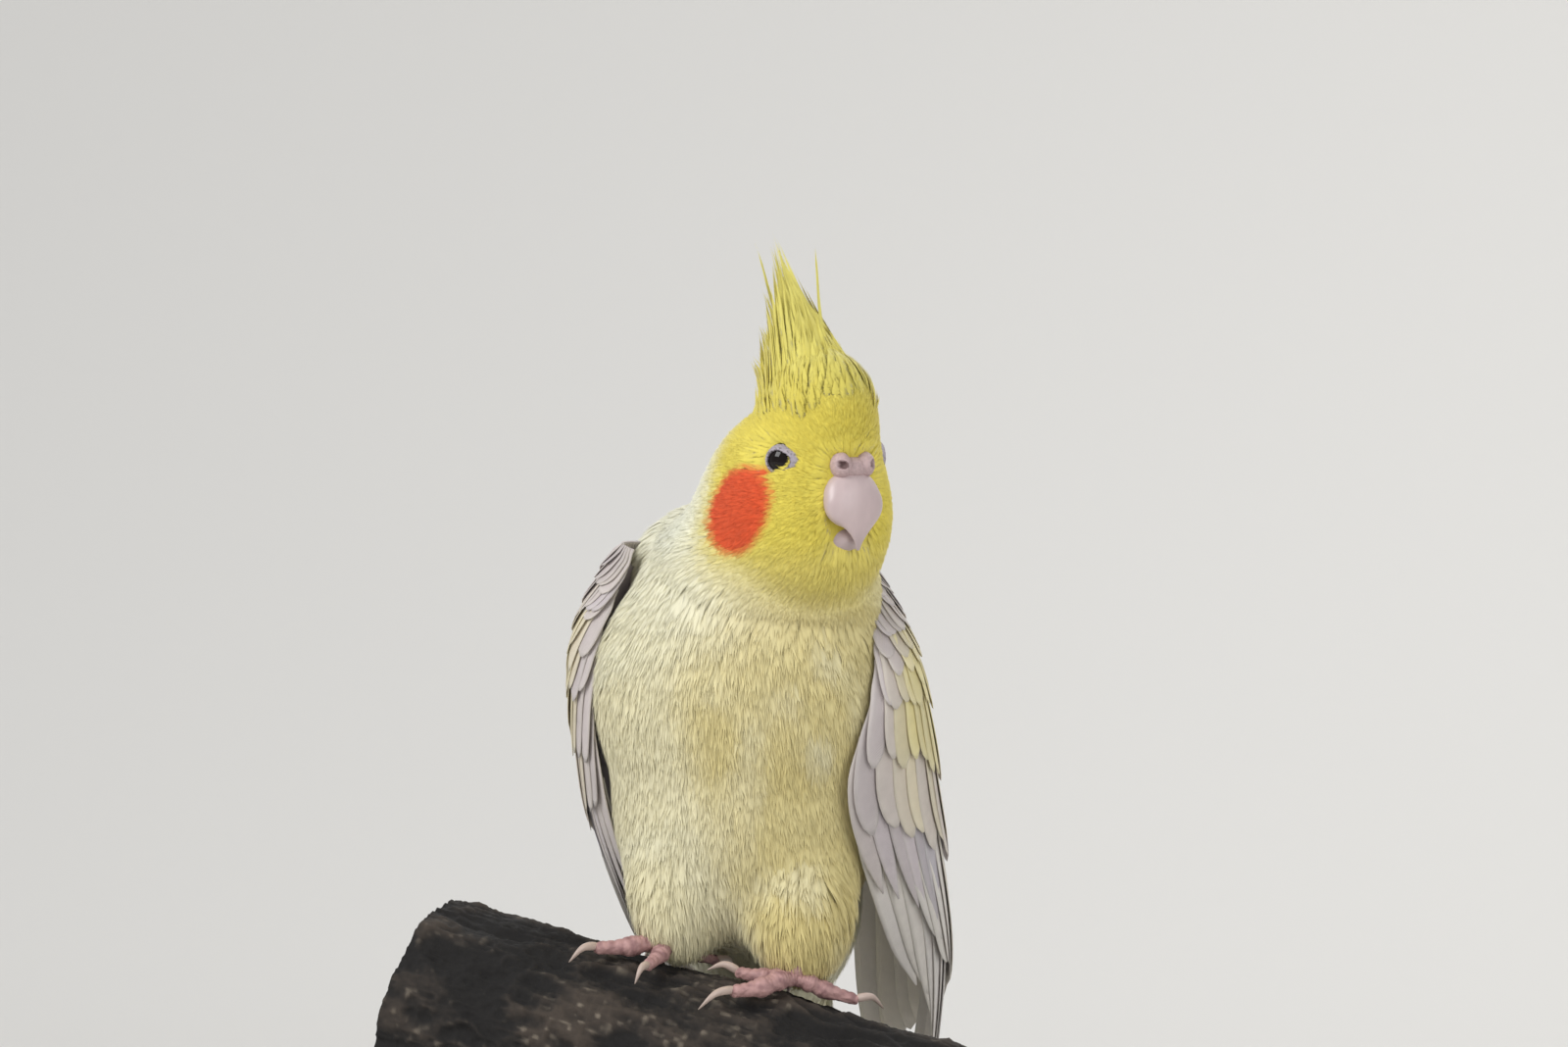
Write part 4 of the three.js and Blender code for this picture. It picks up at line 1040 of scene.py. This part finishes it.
foot_look = material("pink_scaly_skin", 0.6, "#b08a86")
tinted(foot_look, 0.5, 1600, (1, 1, 1), 0.18)
claw_look = material("pale_horn_claw", 0.35, "#b5a49a")
tinted(claw_look, 0.1, 600, (1, 1, 0.3), 0.08)
for name, side, ankle, toes in FEET:
    parts = []
    top = np.array([side * 14.5 + (side > 0), 11, 21])
    shank = path(on_log(*ankle, 3.4), mix(on_log(*ankle, 5.2), top, 0.25), top)
    parts.append(tube(shank, lambda t: mix(2.6, 2.0, t), lambda t: mix(2.7, 2.1, t), (0, 1.0, 0), 70, 32,
                      scutes(20, 0.12)))
    for toe_name, mid, end, radius, claw in toes:
        h = radius + TOE_LIFT
        between = mix(np.array(ankle, float), np.array(mid, float), 0.5)
        line = path(on_log(*ankle, 3.6), on_log(*between, h + 1.1), on_log(*mid, h + 0.4),
                    on_log(*end, h))

        def size(t, radius=radius):
            """Three swellings down the toe."""
            return radius * (1 + 0.12 * np.cos(6 * math.pi * t)) * mix(1.1, 0.92, t)

        parts.append(tube(line, size, size, LOG_UP, 90, 32, scutes(16, 0.16)))
        x, g = end
        hook = path(*[on_log(x + claw[0] * reach, g + claw[1] * reach, h + rise)
                      for reach, rise in ((-0.12, 0.3), (0.45, 1.5), (1, 0.1))])
        points, faces = tube(hook, lambda t: mix(1.1, 0.22, t), lambda t: mix(1.25, 0.22, t), LOG_UP,
                             40, 20)
        down = np.append(np.repeat(np.linspace(0, 1, 40), 20), [0, 1])
        tint = mix(linear("#c7b2a6"), linear("#8d7c72"), ease(down, 0.3, 1)[:, None])
        claw_name = f"claw_{name}_{toe_name}"
        piece(f"{claw_name}_horn", points, faces, claw_look, "claw", (claw_name,), tint=tint)
    points, faces = joined(parts)
    shade = lattice(points[:, 0] * 0.9, points[:, 2] * 0.9 + points[:, 1] * 0.6, 23)
    tint = mix(linear("#b58d89"), linear("#8f6a69"), ease(shade, -0.4, 0.9)[:, None])
    piece(f"foot_{name}_skin", points, faces, foot_look, "foot_skin", (f"foot_{name}",), tint=tint)


# Stand: a turned round base and a rod
wood_look = material("dark_stained_turned_wood", 0.45, Coat_Weight=0.2, Coat_Roughness=0.25)
tinted(wood_look, 0.15, 60, (1, 9, 9), 0.35, 5.0)
rod_look = material("satin_brass_rod", 0.32, "#a89060", Metallic=1.0)


def turned(profile, centre, cols=160):
    """A line of (radius, height) pairs turned round an upright axis."""
    a = np.arange(cols) / cols * 2 * math.pi
    r, z = np.array(profile, float).T
    ring = np.stack([r[:, None] * np.cos(a), r[:, None] * np.sin(a), np.repeat(z[:, None], cols, 1)], -1)
    return closed(ring + np.asarray(centre))


BASE_RADIUS, BASE_HEIGHT, ROD_RADIUS = 60.0, 12.0, 4.5
BASE_EDGE, SMALL_EDGE = 2.4, 0.3  # the round of the base's upper edge, and the cut of the rod's ends
FLOOR = -ORIGIN[2]
soft = [(BASE_RADIUS - BASE_EDGE * (1 - math.sin(k)), BASE_HEIGHT - BASE_EDGE * (1 - math.cos(k)))
        for k in np.linspace(1.57, 0.02, 8)]
edge = [(0.5, 0), (BASE_RADIUS - 0.6, 0), (BASE_RADIUS, 0.6), *soft, (0.5, BASE_HEIGHT)]
points, faces = turned(edge, (0, -ORIGIN[1], FLOOR))
tint = np.tile(linear("#4a3122"), (len(points), 1))
piece("stand_base_wood", points, faces, wood_look, "stand_wood", ("stand_base",), tint=tint)
low, high = FLOOR + BASE_HEIGHT - 7, LOG_MIDDLE[2] - LOG_RADIUS + 12
inner = ROD_RADIUS - SMALL_EDGE
edge = [(0.5, low), (inner, low), (ROD_RADIUS, low + SMALL_EDGE), (ROD_RADIUS, high - SMALL_EDGE),
        (inner, high), (0.5, high)]
points, faces = turned(edge, (LOG_MIDDLE[0], LOG_MIDDLE[1], 0), 96)
piece("stand_rod_brass", points, faces, rod_look, "stand_rod", ("stand_rod",))


# Floor, light and camera
floor_look = material("pale_matt_floor", 0.9, "#d9d7d3")
sweep = path((0, -1.2, 0), (0, 0.5, 0), (0, 1.1, 0.02), (0, 1.5, 0.35), (0, 1.6, 1.0), (0, 1.6, 2.2))
across = np.array([[-3.0, 0, 0], [3.0, 0, 0]])
points = (sweep(np.linspace(0, 1, 60))[:, None] + across).reshape(-1, 3) / MM - ORIGIN
backdrop = mesh("floor_sweep", points, [grid_faces(60, 2, wrap_cols=False)], floor_look)


def light(name, place, size, watts, aim=(0, 0, 0.22)):
    """A square soft light that faces the bird."""
    lamp = bpy.data.lights.new(name, "AREA")
    lamp.energy, lamp.size = watts, size
    made = bpy.data.objects.new(name, lamp)
    made.location = place
    made.rotation_euler = (Vector(aim) - Vector(place)).to_track_quat("-Z", "Y").to_euler()
    bpy.context.collection.objects.link(made)
    return made


lights = [light("key", (-0.9, -1.1, 1.3), 0.9, 22), light("fill", (1.3, -1.0, 0.8), 1.2, 9),
          light("rim", (0.4, 1.2, 1.4), 0.8, 10)]
world = bpy.data.worlds.new("studio")
world.use_nodes = True
world.node_tree.nodes["Background"].inputs[0].default_value = (0.85, 0.87, 0.9, 1)
world.node_tree.nodes["Background"].inputs[1].default_value = 0.55
bpy.context.scene.world = world
bpy.context.scene.view_settings.view_transform = "Standard"

# The camera stands where the photograph's did: its picture is 1600 by 1068 points of 0.205 mm, and the
# place between the feet is 735 points across it and 985 down
POINT, PICTURE, FEET_AT = 0.205, (1600, 1068), (735, 985)
AZIMUTH, ELEVATION, DISTANCE, LENS = math.radians(14.5), math.radians(4), 1367.0, 150
right = np.array([math.cos(AZIMUTH), math.sin(AZIMUTH), 0])
to_camera = np.array([math.sin(AZIMUTH) * math.cos(ELEVATION), -math.cos(AZIMUTH) * math.cos(ELEVATION),
                      math.sin(ELEVATION)])
up = np.cross(to_camera, right)
aim = (right * (PICTURE[0] / 2 - FEET_AT[0]) + up * (FEET_AT[1] - PICTURE[1] / 2)) * POINT
camera_data = bpy.data.cameras.new("camera")
camera_data.lens = LENS
camera = bpy.data.objects.new("camera", camera_data)
camera.location = to_row(aim + to_camera * DISTANCE)
camera.rotation_euler = Matrix(np.stack([right, up, to_camera], 1).tolist()).to_euler()
bpy.context.collection.objects.link(camera)
bpy.context.scene.camera = camera
